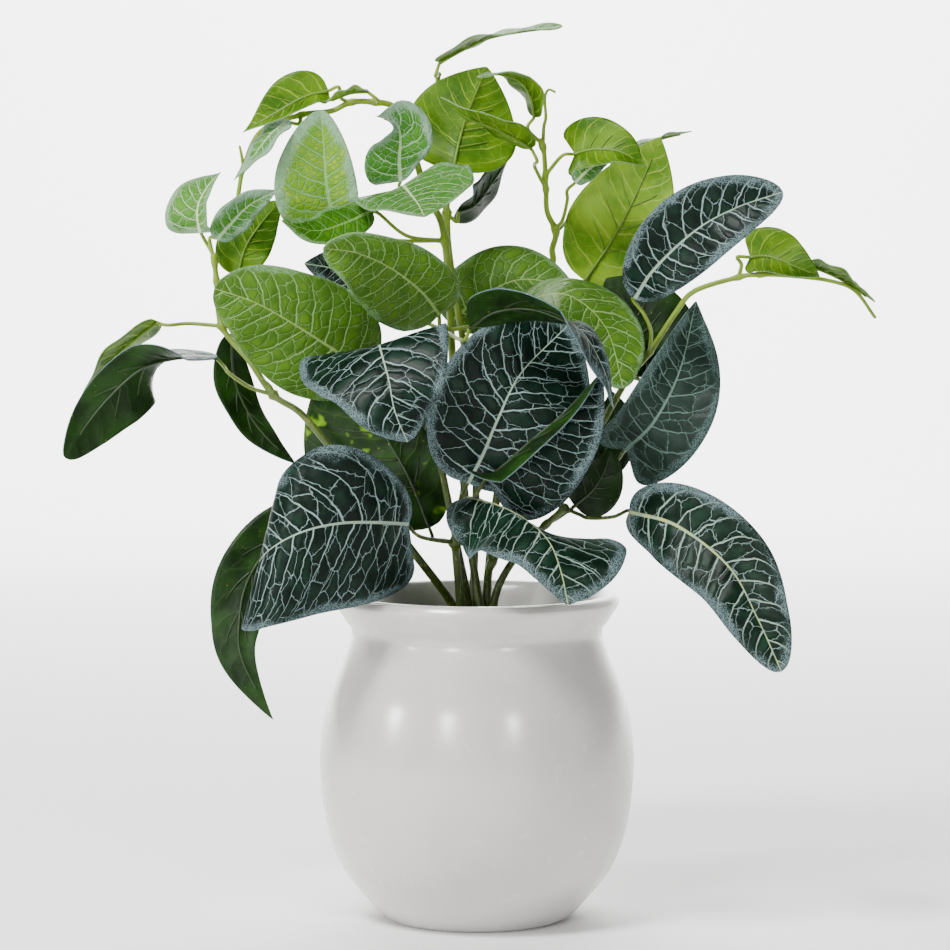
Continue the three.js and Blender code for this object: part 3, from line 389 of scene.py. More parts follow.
# The stalk leaves the shoot at a place counted in its points, and runs via others to the rib, which
# goes on to the tip. Half is the half width, left and right of the rib. Top is what the print is
# turned to, before a roll in degrees. Fold lifts a half where it leaves the rib, curl bends it on
# towards the edge, and lobe is how far the foot of a half reaches back past the stalk. One value
# stands for both halves, or for the whole rib.
usual_leaf = dict(print="dark", via=[], top=viewer, roll=0, shapes=oval, fold=0, curl=0, lobe=0)
leaves = {
    "leaf_top_tip": dict(
        print="fresh", on="top", at=10, top=sky, half=12, roll=(-4, 6, 18), shapes=blunt, fold=3, lobe=4,
        rib=[(-15.5, 343, 20), (-6.5, 348, 18), (5, 353, 15), (19, 355.5, 12), (34, 357, 10)]),
    "leaf_top_round": dict(
        print="fresh", on="top", at=6, half=23, roll=180, fold=8,
        rib=[(-9.5, 300, 14), (-7, 312, 18), (-3.5, 323, 18), (4, 341, 14)]),
    "leaf_top_shaded": dict(
        on="top", at=6, half=12, roll=(-115, -115, -110), shapes=pointed,
        rib=[(-8, 284, 24), (-1, 287, 29), (6, 296, 32), (13.5, 307, 32)]),
    "leaf_crook_high": dict(
        print="fresh", on="top_right", at=11.7, half=10, roll=(115, 110, 65),
        rib=[(23.5, 321, 8), (22, 329, 6), (17.5, 335.5, 3), (9, 338.5, 0), (0, 337, -2)]),
    "leaf_crook_low": dict(
        print="fresh", on="top_right", at=10, via=[(23, 301.5, 15)], top=sky, half=8, roll=(20, 15, 5),
        fold=10, rib=[(22, 309, 7), (14.5, 313.5, 2), (5, 318, -2), (-3, 321, -4), (-14.5, 329, -6)]),
    "leaf_spray_small": dict(
        print="fresh", on="top_right", at=10.4, half=(11, 13.5), roll=(180, 180, 175), shapes=heart,
        fold=(-50, 5), lobe=9, rib=[(39, 306.5, 11), (47, 308, 6), (57, 307, 2), (66, 302, 0)]),
    "leaf_spray_broad": dict(
        print="fresh", on="top_right", at=5, via=[(36, 246, 38)], half=(21, 22), roll=180, fold=-8,
        rib=[(43, 256, 32), (55, 274, 39), (65, 294, 43), (73, 313, 46)]),
    "leaf_spray_far": dict(
        print="fresh", on="top_right", at=8, via=[(41, 285, 54), (50, 298, 60)], top=sky, half=10, fold=5,
        rib=[(54, 305, 58), (64, 309, 60), (73.5, 313, 62), (85.5, 315.5, 62)]),
    "leaf_spray_pale": dict(
        print="pale", on="top_right", at=8.2, via=[(34, 280, 34), (36, 288, 26)], half=(5, 4), fold=5,
        rib=[(39, 295, 17), (43, 299, 18), (48, 302.5, 19), (54, 305, 20)]),
    "leaf_right_long": dict(
        on="right", at=9, via=[(69.5, 236, -6), (66.5, 243, -14)], half=(17, 16.5),
        shapes=spoon, fold=(10, 30), lobe=6,
        rib=[(63, 249, -18), (71, 261, -26), (87, 276, -34), (103, 285, -38), (122, 291.5, -40)]),
    "leaf_right_arched": dict(
        print="fresh", on="right", at=12, via=[(105.5, 262.5, -5)], half=(8, 12), roll=180, shapes=heart,
        fold=(-40, 0), lobe=5,
        rib=[(109, 265.5, -4), (116.5, 265.5, -8), (126, 262, -12), (137, 257.5, -14)]),
    "leaf_right_end": dict(
        print="fresh", on="right", at=13, via=[(121, 262, -6)], top=sky, half=10, roll=(-15, -10, 0),
        fold=10, rib=[(132.5, 263, -2), (141, 259.5, -4), (150, 254.5, -6), (159, 247.5, -8)]),
    "leaf_right_curled": dict(
        on="low_right", at=4.5, via=[(34, 162, 2), (44, 170, 8), (54, 181, 7)], half=(15, 21),
        roll=(0, 0, 20), shapes=heart, fold=(10, 5), curl=20, lobe=(14, 15),
        rib=[(60, 188.5, -6), (71, 200, -12), (81, 220, -8), (87.5, 248, 4)]),
    "leaf_right_low": dict(
        on="low_right", at=5, via=[(41, 162.5, -10), (45, 161, -14), (54.5, 161.5, -19)],
        half=(18, 17), shapes=blunt, fold=8, lobe=5,
        rib=[(61, 163.5, -22), (80, 158, -34), (101, 141.5, -48), (113, 120, -58), (122.5, 99, -62)]),
    "leaf_right_shaded": dict(
        on="right", at=8, half=23, roll=180, fold=-5,
        rib=[(69, 218, 22), (66, 232, 24), (60.5, 246, 26), (51.5, 257, 28)]),
    "leaf_right_inner": dict(
        on="right", at=5, half=11, roll=180,
        rib=[(45, 178, 20), (52, 190, 20), (55, 200, 19), (54, 212, 17)]),
    "leaf_low_right_small": dict(
        on="low_right", at=5, half=11, roll=180,
        rib=[(39, 166, -4), (46, 172, -3), (51, 180, -2), (53.5, 189, 0)]),
    "leaf_front_arched": dict(
        on="front", at=3, via=[(-5, 159, -24)], top=slanted, half=(31, 24),
        roll=(-15, -10, 0, 0), shapes=(winged, oval), lobe=3,
        fold=((-60, -65, -68, -60, -30, -5), (-50, -45, -10, 0)),
        rib=[(-4, 169.5, -33), (7, 167, -48), (19, 161, -63), (28.5, 152, -74), (33.5, 140, -80),
             (36.5, 126, -81)]),
    "leaf_front_left": dict(
        on="front", at=3, via=[(-19, 152.5, -26), (-24.5, 154.5, -33)], across=leaning,
        half=(37, 35), shapes=(rounded, swelling), lobe=(25, 10),
        rib=[(-27.5, 158.5, -38), (-40, 159.2, -52), (-54, 159, -61), (-67, 156.5, -65.5),
             (-78, 151.8, -64), (-86.5, 145, -56), (-88, 137, -48), (-86, 131, -46)]),
    "leaf_front_back": dict(
        on="front", at=3, via=[(-13, 152, -11), (-17.5, 152.5, -3)], half=(15, 35), roll=180,
        shapes=(oval, spoon), fold=5, rib=[(-19, 157, -3), (-27, 177, 0), (-37, 195, 3), (-54, 227, 6)]),
    "leaf_front_broad": dict(
        on="front", at=5, half=(28, 37), shapes=(blunt, spoon), fold=8, lobe=7,
        rib=[(-3.5, 175, -26), (3, 188, -29), (8, 200, -29), (17.5, 219, -24), (36, 238, -12)]),
    "leaf_front_cupped": dict(
        on="front", at=5, via=[(-1.5, 169, -26)], half=(11, 26), shapes=heart, fold=(110, 5),
        lobe=7, rib=[(4, 176.5, -36), (11, 182, -41), (21.5, 191.5, -43), (36, 204, -41), (50, 220, -34)]),
    "leaf_centre_rolled": dict(
        on="centre", at=5, via=[(-26, 212, -18)], top=slanted, half=(27, 33),
        roll=(20, 18, 8, 0), shapes=(blunt, oval), curl=(0, -15), lobe=2,
        rib=[(-34, 220, -24), (-39, 230.5, -50), (-35.5, 217, -66), (-33, 204, -71), (-28, 191.5, -70)]),
    "leaf_centre_dark_arch": dict(
        on="centre", at=7, top=sky, half=(14, 17), roll=(-30, -30, -10, 60, 100),
        shapes=slender,
        rib=[(-3, 237.5, -29), (8, 244.5, -38), (24, 245, -43), (41, 236.5, -46), (50.5, 221, -43),
             (54.5, 205, -38)]),
    "leaf_centre_fresh_arch": dict(
        print="fresh", on="centre", at=7, via=[(0, 238, 10)], top=sky, half=19, roll=(20, 20, 30),
        shapes=blunt, rib=[(9, 243, 14), (33, 251, 8), (51, 238, 0), (58.5, 213, -8)]),
    "leaf_centre_tall": dict(
        print="fresh", on="centre", at=7, half=19, roll=-30,
        rib=[(-11, 239, 26), (1, 249, 30), (17, 256.5, 32), (39, 254, 28)]),
    "leaf_centre_folded": dict(
        print="fresh", on="centre", at=6.6, half=(20, 17), roll=(0, -15, -20), shapes=blunt, fold=22,
        lobe=5,
        rib=[(-15, 242.5, -12), (-22, 251.5, -22), (-33.5, 260.5, -34), (-47.5, 267, -46),
             (-61.5, 269, -52)]),
    "leaf_centre_left": dict(
        print="fresh", on="centre", at=6, via=[(-30, 215, -9)], half=24, roll=(0, -10, -10), shapes=blunt,
        fold=8, lobe=4,
        rib=[(-43.5, 220, -12), (-54, 226.5, -18), (-74.5, 239.5, -28), (-89, 247.5, -34),
             (-105, 253, -38)]),
    "leaf_centre_shaded": dict(
        on="centre", at=7, via=[(-28, 243, 8)], half=10,
        rib=[(-42, 251, 12), (-55, 260, 16), (-69, 263, 16)]),
    "leaf_top_left_tall": dict(
        print="pale", on="top_left", at=6, via=[(-30, 272, 4), (-46, 274, 0)], half=(21, 13.5),
        shapes=round_heart, fold=(5, 25), lobe=(8, 3),
        rib=[(-57.5, 281, 1), (-60, 294, -1), (-61, 308, -2), (-62, 324, -3)]),
    "leaf_top_left_narrow": dict(
        print="fresh", on="top_left", at=6, via=[(-28, 274, 3)], top=sky, half=9, roll=-50,
        rib=[(-42, 284, -7), (-53, 279, -11), (-65, 276, -15), (-78, 280, -19)]),
    "leaf_top_left_twisted": dict(
        print="pale", on="top_left", at=7, half=(14, 13), roll=(0, 0, 5, 20, 30),
        shapes=(cut_away, shouldered), fold=5, lobe=2,
        rib=[(-30.5, 295.5, 6), (-31, 304, 4), (-30.5, 312, 1), (-31.5, 317.5, -2), (-35.5, 320, -6),
             (-40.5, 321.5, -10)]),
    "leaf_top_left_near": dict(
        print="pale", on="top_left", at=7, top=slanted, half=(25.5, 22), roll=20, shapes=(rounded, heart),
        fold=(-4, 22), lobe=4,
        rib=[(-29.5, 294, 0), (-27, 291, -10), (-23.5, 286.5, -21), (-21, 281.5, -32)]),
    "leaf_top_left_high": dict(
        print="fresh", on="top_left", at=11, via=[(-54, 328.5, 8)], half=(11.5, 8), roll=180,
        shapes=pointed, fold=(0, -60),
        rib=[(-59, 331.5, 4), (-69, 328.5, 2), (-79, 323, 0), (-86, 319, -1), (-93.5, 315, -2)]),
    "leaf_top_left_bud": dict(
        print="pale", on="top_left", at=10, top=sky, half=6, roll=(-10, 10, 20), fold=10,
        rib=[(-43.5, 332, -2), (-51, 331, -4), (-60, 327, -6)]),
    "leaf_top_left_hanging": dict(
        print="pale", on="top_left", at=13, half=8, roll=60, shapes=pointed,
        rib=[(-75.5, 320, 1), (-82.5, 314, -3), (-89.5, 305, -4), (-97, 296, -4)]),
    "leaf_left_upright": dict(
        print="pale", on="left", at=11, half=(13, 8), roll=(-10, -10, 0), shapes=heart_pointed,
        fold=(5, 50),
        rib=[(-110.5, 275, -1), (-111.5, 282, -3), (-110.5, 288, -3), (-107, 294, -3), (-102, 299.5, -3)]),
    "leaf_left_netted": dict(
        print="pale", on="left", at=10.7, half=(8, 6.5), roll=(30, 30, 20), fold=5,
        rib=[(-104, 272.5, -7), (-98, 279, -10), (-91, 286, -12), (-80, 292, -13)]),
    "leaf_left_behind": dict(
        print="fresh", on="left", at=10, half=(10, 12), roll=180,
        rib=[(-95.5, 258, 14), (-92.5, 269, 16), (-86, 279, 18), (-78, 288, 18)]),
    "leaf_left_far_end": dict(
        print="fresh", on="left", at=9, via=[(-115, 239, 4)], top=sky, half=10, roll=12, shapes=pointed,
        lobe=2,
        rib=[(-128, 240, 6), (-139, 231.5, 10), (-148, 223, 12), (-156, 212.5, 12), (-163.5, 199, 10)]),
    "leaf_left_twisted": dict(
        on="left", at=7, via=[(-91, 213.5, -6), (-99, 219, -8)], top=sky, half=(11, 17),
        roll=(-15, -5, 60, 85, 85, 85), shapes=blunt,
        rib=[(-104, 226, -8), (-119, 226, -14), (-134, 221.5, -20), (-147, 210, -24), (-157, 198, -28),
             (-165, 185, -32)]),
    "leaf_left_drooping": dict(
        on="left", at=9, half=(9, 8), roll=145,
        rib=[(-98.5, 235, 10), (-98.5, 224, 13), (-96, 212, 15), (-90, 200, 14), (-82.5, 191, 12),
             (-73, 183, 10)]),
    "leaf_left_hanging": dict(
        on="left", at=4, via=[(-57, 174, -16)], half=(13, 11), roll=180,
        shapes=(oval, pointed),
        rib=[(-63.5, 166, -16), (-81, 152, -26), (-92, 136, -32), (-95.5, 120, -36), (-94.5, 104, -39),
             (-82, 79.5, -42)]),
    "leaf_back_low_left": dict(
        on="back", at=4, via=[(-14, 180, 40)], top=sky, half=20, fold=10,
        rib=[(-24, 180, 46), (-42, 186, 58), (-60, 176, 72), (-72, 158, 80)]),
    "leaf_back_low_right": dict(
        on="back", at=4, top=sky, half=18, fold=10,
        rib=[(8, 187, 46), (21, 196, 62), (33, 192, 78), (40, 177, 90)]),
    "leaf_back_left": dict(
        print="fresh", on="back", at=5, top=sky, half=20, fold=10,
        rib=[(-10, 212, 50), (-28, 222, 60), (-48, 222, 72), (-63, 210, 80)]),
    "leaf_back_right": dict(
        on="back", at=5.6, top=sky, half=18, fold=10,
        rib=[(12, 224, 56), (30, 232, 66), (47, 228, 76), (58, 214, 80)]),
    "leaf_back_top": dict(
        print="fresh", on="back", at=7, top=sky, half=18, fold=10,
        rib=[(-5, 250, 64), (-18, 255, 76), (-32, 254, 90), (-44, 244, 98)]),
    "leaf_back_hanging": dict(
        on="back", at=4.6, via=[(-6, 196, 44)], top=sky, half=18, fold=10,
        rib=[(-12, 204, 52), (-17, 208, 68), (-22, 192, 86), (-24, 168, 94)]),
}


def along(values, u):
    """The value at share u of the way along a short list of evenly spaced values."""
    values = np.atleast_1d(values)
    return np.interp(u, np.linspace(0, 1, len(values)), values)


def both(value):
    """A value for the left half and one for the right."""
    return value if isinstance(value, tuple) and len(value) == 2 else (value, value)


def outline(shape, u):
    widest, foot, tip = shape
    wave = np.maximum(0, np.sin(np.pi * u ** widest))
    return wave ** (foot + (tip - foot) * u)


def outline_share(leaf, u, right):
    return np.where(right == 1, outline(leaf["shapes"][1], u), outline(leaf["shapes"][0], u))


def lobe_back(leaf, u, out, right, share):
    """How far the blade's foot reaches back past the stalk."""
    return np.array(leaf["lobe"])[right] * out ** lobe_power * share * (1 - u) ** lobe_fade


def rib_frames(leaf, u):
    """The rib's places, its heading, the way across to the right and the print's normal."""
    rib = leaf["line"]
    params = np.linspace(0, len(rib) - 1, looks_a_rib)
    line, _ = curve_through(rib, params)
    lengths = lengths_along(line)
    leaf["length"] = lengths[-1]
    places, headings = curve_through(rib, np.interp(u * lengths[-1], lengths, params))
    forward = unit(headings)
    if "across" in leaf:
        side = np.broadcast_to(leaf["across"], forward.shape)
        return places, forward, side, unit(np.cross(side, forward))
    facing = unit(leaf["top"] - (forward @ leaf["top"])[:, None] * forward)
    level = np.cross(forward, facing)
    roll = np.radians(along(leaf["roll"], u))[:, None]
    side = level * np.cos(roll) - facing * np.sin(roll)
    normal = facing * np.cos(roll) + level * np.sin(roll)
    return places, forward, side, normal


def blade_places(leaf, u, s):
    """Points of the blade for each pair of u along the rib and s across, -1 at the left edge."""
    places, forward, side, normal = rib_frames(leaf, u)
    right = (s >= 0).astype(int)
    out = np.abs(s)
    share = outline_share(leaf, u, right)
    width = np.array(leaf["half"])[right] * share * out
    angle = np.zeros_like(u)
    for half in (0, 1):
        fold = list(np.atleast_1d(leaf["fold"][half]))
        angle = np.where(right == half, along(fold + fold[-1:], u), angle)
    start = np.radians(angle) * np.minimum(1, u / flat_share)
    bend = np.radians(np.array(leaf["curl"])[right]) * share * out
    safe = np.where(np.abs(bend) < least_bend, least_bend, bend)
    reach = (np.sin(start + safe) - np.sin(start)) / safe
    rise = (np.cos(start) - np.cos(start + safe)) / safe
    turn = 2 * np.pi * waves * u + right * waves_apart + leaf["number"]
    ripple = wave_height * out ** 2 * share * np.sin(turn)
    back = lobe_back(leaf, u, out, right, share)
    return (places + side * (np.sign(s) * width * reach)[:, None]
            + normal * (width * rise + ripple)[:, None] - forward * back[:, None])


def blade_normals(leaf, u, s):
    near, step = np.clip(u, *normal_ends), normal_step
    ahead = blade_places(leaf, near + step, s) - blade_places(leaf, near - step, s)
    over = (blade_places(leaf, near, np.minimum(1, s + step))
            - blade_places(leaf, near, np.maximum(-1, s - step)))
    return unit(np.cross(over, ahead))


# The veins' plan: side veins leave the rib one spacing apart, sweep forward and loop along the
# edge. It is printed on each blade and pressed a little into it.
veins_least, rib_a_vein = 6, 18
sweep_foot, sweep_tip, loop_share = 0.15, 0.95, 0.05
loop_power, way_lean = 5, 0.6
right_vein_shift, right_way_shift = 0.45, 23
quilt_height, quilt_width, quilt_spacing = 0.3, 0.2, 9
quilt_fade_edge, quilt_fade_rib = 4, 3
groove_depth, groove_width, groove_fade = 0.25, 1.6, 3
just_left = 1e-6


def flat_place(leaf, u, s):
    """Where a point lies on the blade laid flat, and the half width there."""
    right = (s >= 0).astype(int)
    share = outline_share(leaf, u, right)
    half = np.array(leaf["half"])[right] * share
    back = lobe_back(leaf, u, np.abs(s), right, share)
    _, forward, side, _ = rib_frames(leaf, u)
    slant = (forward * side).sum(1)
    square = np.sqrt(1 - slant ** 2)
    return half * np.abs(s) * square, u * leaf["length"] + half * s * slant - back, half * square


def vein_plan(leaf, u, s, right):
    """Counts side veins: a vein lies halfway between whole numbers. Then the way along it."""
    x, y, half = flat_place(leaf, u, s)
    length = leaf["length"]
    count = veins_least + round(length / rib_a_vein)
    spacing = length / count
    sweep = sweep_foot + (sweep_tip - sweep_foot) * np.clip(y / length, 0, 1)
    loop = loop_share * length * (x / np.maximum(half, 1)) ** loop_power
    number = count * (y - sweep * x - loop) / length + right * right_vein_shift
    return number, (x + way_lean * y) / spacing + right * right_way_shift, spacing


def rib_and_margin(leaf, row_u, u, s):
    """How far each point of the flat blade lies from the rib and from the nearest edge."""
    x, y, _ = flat_place(leaf, u, s)
    edge_u = np.concatenate([row_u, row_u[::-1]])
    edge_s = np.repeat([-1.0, 1.0], len(row_u))
    edge_x, edge_y, _ = flat_place(leaf, edge_u, edge_s)
    edge = np.stack([edge_x * edge_s, edge_y], 1)
    spot = np.stack([x * np.where(s < 0, -1, 1), y], 1)
    start, along_edge = edge[:-1], np.diff(edge, axis=0)
    t = ((spot[:, None] - start) * along_edge).sum(2) / np.maximum((along_edge ** 2).sum(1), 1e-9)
    nearest = start + np.clip(t, 0, 1)[..., None] * along_edge
    return x, np.linalg.norm(spot[:, None] - nearest, axis=2).min(1)


def blade_faces(rows, columns):
    """Faces, which finish each has (print, cloth or cut edge), and whether it lies on the right."""
    last = (rows - 1) * (columns + 1) + 1
    under = last + 1

    def corner(row, column):
        if row == 0:
            return 0
        return last if row == rows else 1 + (row - 1) * (columns + 1) + column

    faces, kinds, rights = [], [], []
    for row in range(rows):
        for column in range(columns):
            ring = [corner(row, column), corner(row, column + 1), corner(row + 1, column + 1),
                    corner(row + 1, column)]
            ring = [c for i, c in enumerate(ring) if c not in ring[:i]]
            for face, kind in ((ring, 0), ([under + c for c in reversed(ring)], 1)):
                faces.append(tuple(face))
                kinds.append(kind)
                rights.append(int(column >= columns // 2))
        for column, flip in ((0, 1), (columns, 0)):
            a, b = corner(row, column), corner(row + 1, column)
            faces.append((a, b, b + under, a + under) if flip else (b, a, a + under, b + under))
            kinds.append(2)
            rights.append(int(column > 0))
    return faces, kinds, rights


def make_blade(name, leaf, finishes):
    """The cloth blade: print on top, plain cloth below, and a cut edge between them."""
    rows = int(np.clip(leaf["length"] / row_spacing, *row_limits))
    columns = 2 * int(np.clip(max(leaf["half"]) / column_spacing, *column_limits))
    even = np.arange(rows + 1) / rows
    row_u = even + row_crowding * ((0.5 - 0.5 * np.cos(np.pi * even)) - even)
    column_s = np.linspace(-1, 1, columns + 1)
    inner_u, inner_s = (grid.ravel() for grid in np.meshgrid(row_u[1:-1], column_s, indexing="ij"))
    u = np.concatenate([[0], inner_u, [1]])
    s = np.concatenate([[0], inner_s, [0]])
    normal = blade_normals(leaf, u, s)
    middle = blade_places(leaf, u, s)
    from_rib, margin = rib_and_margin(leaf, row_u, u, s)

    number, _, spacing = vein_plan(leaf, u, s, (s >= 0).astype(int))
    from_vein = np.abs(number - np.floor(number) - 0.5)
    fade = np.clip(margin / quilt_fade_edge, 0, 1) * np.clip(from_rib / quilt_fade_rib, 0, 1)
    puff = (1 - np.exp(-(from_vein / quilt_width) ** 2)) * fade
    groove = np.exp(-(from_rib / groove_width) ** 2) * np.clip(margin / groove_fade, 0, 1)
    rise = quilt_height * (spacing / quilt_spacing) * puff - groove_depth * groove
    middle = middle + normal * rise[:, None]

    top = middle + normal * cloth_thickness / 2
    below = middle - normal * cloth_thickness / 2
    faces, kinds, rights = blade_faces(rows, columns)
    blade = new_piece(name, np.vstack([top, below]), faces, finishes, kinds)

    corner_right = np.repeat(rights, [len(face) for face in faces])
    corner_point = np.concatenate(faces) % len(u)
    cu, cs = u[corner_point], s[corner_point]
    cs = np.where(corner_right == 1, np.abs(cs), -np.maximum(np.abs(cs), just_left))
    number, way, _ = vein_plan(leaf, cu, cs, corner_right)
    plan = np.stack([number, way, np.full(len(number), float(leaf["number"]))], 1)
    place = np.stack([from_rib[corner_point], margin[corner_point], cu], 1)
    for title, values in (("vein_plan", plan), ("blade_place", place)):
        attribute = blade.data.attributes.new(title, "FLOAT_VECTOR", "CORNER")
        attribute.data.foreach_set("vector", values.astype(np.float32).ravel())
    return blade


# The prints: a ground colour under a net of pale veins, with a speckled film along the edge. The
# inks sink into the cloth, so it stays a little rough and has a faint sheen. The middle of each
# cell is also painted lighter, as a painted satin highlight on the puffed cloth.
side_waver, side_vein_reach, side_vein_widths = 0.34, 22, (0.034, 0.014)
net_along, net_across, net_column_shift = 0.76, 1.05, 3.7
net_lean, net_jitter, net_line = 0.4, 0.22, (0.006, 0.021)
spur_fineness, spur_reach, spur_line = 2.6, (0.05, 0.13), (0.015, 0.042)
net_strength, spur_strength = 0.85, 0.6
rib_reach_printed, rib_half_widths = 0.8, (0.62, 0.2)
cloth_weave, fleck_size = 0.35, 0.42
film_ragged, film_ahead, underside_width = 5.0, 2.5, 1.5
fleck_yellow = "b9bf45"


def reckon(tree, operation, *values):
    sockets = dict(enumerate(values))
    return add_node(tree, "ShaderNodeMath", sockets, operation=operation).outputs[0]


def times(tree, first, second):
    return reckon(tree, "MULTIPLY", first, second)


def larger(tree, first, second):
    return reckon(tree, "MAXIMUM", first, second)


def cell_edges(tree, place, scale, randomness):
    """How far a point lies from the nearest line of a net of cells."""
    sockets = {"Vector": place, "Scale": scale, "Randomness": randomness}
    return add_node(tree, "ShaderNodeTexVoronoi", sockets, feature="DISTANCE_TO_EDGE",
                    voronoi_dimensions="2D").outputs["Distance"]


def vein_lines(tree, width=1.0, fineness=1.0):
    """Shares of the rib, side veins and net at a point, and what they are worked out from."""
    plan = add_node(tree, "ShaderNodeAttribute", attribute_name="vein_plan").outputs["Vector"]
    place = add_node(tree, "ShaderNodeAttribute", attribute_name="blade_place").outputs["Vector"]
    number, way, seed = add_node(tree, "ShaderNodeSeparateXYZ", {0: plan}).outputs
    from_rib, margin, share = add_node(tree, "ShaderNodeSeparateXYZ", {0: place}).outputs
    waver = reckon(tree, "SUBTRACT", plain_noise(tree, plan, 1.1, 2.0), 0.5)
    bent = reckon(tree, "MULTIPLY_ADD", waver, side_waver, number)
    from_side = reckon(tree, "ABSOLUTE", reckon(tree, "SUBTRACT", reckon(tree, "FRACT", bent), 0.5))
    at_rib, at_edge = (thickness * width for thickness in side_vein_widths)
    thick = ramp(tree, from_rib, 0, side_vein_reach, at_rib, at_edge)
    side = ramp(tree, reckon(tree, "DIVIDE", from_side, thick), 0.7, 1.5, 1, 0)

    strip = reckon(tree, "ADD", bent, 0.5)
    across = reckon(tree, "FRACT", strip)
    net_column = reckon(tree, "MULTIPLY_ADD", reckon(tree, "FLOOR", strip), net_column_shift, seed)
    net_x = reckon(tree, "MULTIPLY_ADD", across, net_across * fineness, net_column)
    net_y = reckon(tree, "MULTIPLY_ADD", across, net_lean, times(tree, way, net_along * fineness))
    net_place = add_node(tree, "ShaderNodeCombineXYZ", {0: net_x, 1: net_y}).outputs[0]
    jitter = plain_noise(tree, plan, 3.5, 2.0, "Color")
    shaken = {0: jitter, 1: (net_jitter, net_jitter, 0), 2: net_place}
    net_place = add_node(tree, "ShaderNodeVectorMath", shaken, operation="MULTIPLY_ADD").outputs[0]
    cells = cell_edges(tree, net_place, 1.0, 0.8)
    net = ramp(tree, cells, *(limit * width for limit in net_line), 1, 0)
    spurs = cell_edges(tree, net_place, spur_fineness, 1.0)
    near_line = ramp(tree, reckon(tree, "MINIMUM", cells, from_side), *spur_reach, 1, 0)
    some = ramp(tree, plain_noise(tree, net_place, 3.1, 1.0), 0.5, 0.56)
    spur = ramp(tree, spurs, *(limit * width for limit in spur_line), 1, 0)
    spur = times(tree, spur, times(tree, near_line, some))
    at_foot, at_tip = (half * width for half in rib_half_widths)
    half_rib = ramp(tree, share, 0.0, rib_reach_printed, at_foot, at_tip)
    rib = ramp(tree, reckon(tree, "DIVIDE", from_rib, half_rib), 0.7, 1.3, 1, 0)
    fine = larger(tree, times(tree, net, net_strength), times(tree, spur, spur_strength))
    return rib, side, fine, cells, from_side, from_rib, margin


def printed_side(name, ground, lit, vein, core, edge, speck, film=None, film_share=0.0, core_share=0.3,
                 edge_width=3, vein_strength=1.0, width=1.1, fineness=1.0, boldness=1.0, gloss=0.1):
    """The upper side: ground with a painted satin highlight in each cell's middle, then film, the speckled
    edge, the veins and the rib, in that order.
    """
    finish, tree, shader = new_finish(name, 0.5, Specular_IOR_Level=gloss)
    rib, side, fine, cells, from_side, from_rib, margin = vein_lines(tree, width, fineness)
    # The puffed middle of each cell is painted lighter, towards lit: a painted satin highlight. The same
    # mask also raises the bump.
    puff_and_sheen = times(tree, ramp(tree, cells, 0.02, 0.25), ramp(tree, from_side, 0.03, 0.3))
    mottle = patchy(tree, 9, 3, 0.35, 0.7)
    colour = mixed(tree, times(tree, puff_and_sheen, mottle), ground, lit)
    fleck = grain(tree, fleck_size, 2)
    if film:
        thin = patchy(tree, 8, 4, 0.3, 0.7, film_share * 0.55, film_share)
        colour = mixed(tree, thin, colour, film)
    ragged = reckon(tree, "MULTIPLY_ADD", grain(tree, 6, 4), -film_ragged,
                    reckon(tree, "ADD", margin, film_ahead))
    at_edge = ramp(tree, ragged, 0, edge_width, 1, 0)
    at_edge = times(tree, at_edge, patchy(tree, 22, 2, 0.34, 0.6, 0.35, 1))
    speckle = mixed(tree, ramp(tree, fleck, 0.44, 0.56), speck, edge)
    sprinkled = ramp(tree, reckon(tree, "ADD", fleck, at_edge), 0.72, 1.25, 0, 0.95)
    sprinkled = times(tree, sprinkled, ramp(tree, at_edge, 0, 0.3))
    colour = mixed(tree, sprinkled, colour, speckle)
    lines = larger(tree, times(tree, side, boldness), fine)
    worn = patchy(tree, 3, 3, 0.25, 0.5, 0.72, 1)
    faded = times(tree, ramp(tree, margin, 0.4, edge_width * 0.8, 0.3, vein_strength), worn)
    colour = mixed(tree, times(tree, lines, faded), colour, vein)
    cored = times(tree, ramp(tree, from_side, 0.0, 0.022, 1, 0), ramp(tree, from_rib, 4, 20, 1, 0.2))
    colour = mixed(tree, times(tree, cored, core_share * 0.7), colour, core)
    streaky = patchy(tree, 2.5, 3, 0.35, 0.6, 1 - core_share, 1)
    rib_colour = mixed(tree, streaky, vein, core)
    colour = mixed(tree, times(tree, rib, vein_strength * boldness), colour, rib_colour)
    tree.links.new(colour, shader.inputs["Base Color"])
    rough = ramp(tree, larger(tree, lines, at_edge), 0, 1, 0.38, 0.6)
    tree.links.new(rough, shader.inputs["Roughness"])
    weave = times(tree, grain(tree, cloth_weave, 1), 0.1)
    height = reckon(tree, "MULTIPLY_ADD", larger(tree, lines, rib), -0.6,
                    reckon(tree, "MULTIPLY_ADD", puff_and_sheen, 0.5, weave))
    raise_surface(tree, shader, height, 0.35, 0.8)
    return finish


def plain_side(name, ground, lit, vein, vein_share, patch=None, flecks=0.0, fineness=1.0):
    """The underside, where the print shows through the cloth a little."""
    finish, tree, shader = new_finish(name, 0.5, Specular_IOR_Level=0.18)
    _, side, fine, *_ = vein_lines(tree, underside_width, fineness)
    colour = mixed(tree, patchy(tree, 14, 4, 0.32, 0.68), ground, lit)
    if patch:
        colour = mixed(tree, patchy(tree, 9, 2, 0.61, 0.71), colour, patch)
    seen = patchy(tree, 10, 2, 0.3, 0.6, vein_share * 0.3, vein_share)
    seen = times(tree, larger(tree, side, times(tree, fine, 0.6)), seen)
    colour = mixed(tree, seen, colour, vein)
    if flecks:
        dots = patchy(tree, 1.3, 2, 0.73, 0.8, 0, flecks)
        colour = mixed(tree, dots, colour, fleck_yellow)
    tree.links.new(colour, shader.inputs["Base Color"])
    tree.links.new(patchy(tree, 3, 3, 0.3, 0.7, 0.36, 0.5), shader.inputs["Roughness"])
    height = reckon(tree, "MULTIPLY_ADD", larger(tree, side, fine), 0.4,
                    times(tree, grain(tree, cloth_weave, 1), 0.2))
    raise_surface(tree, shader, height, 0.22, 0.7)
    return finish


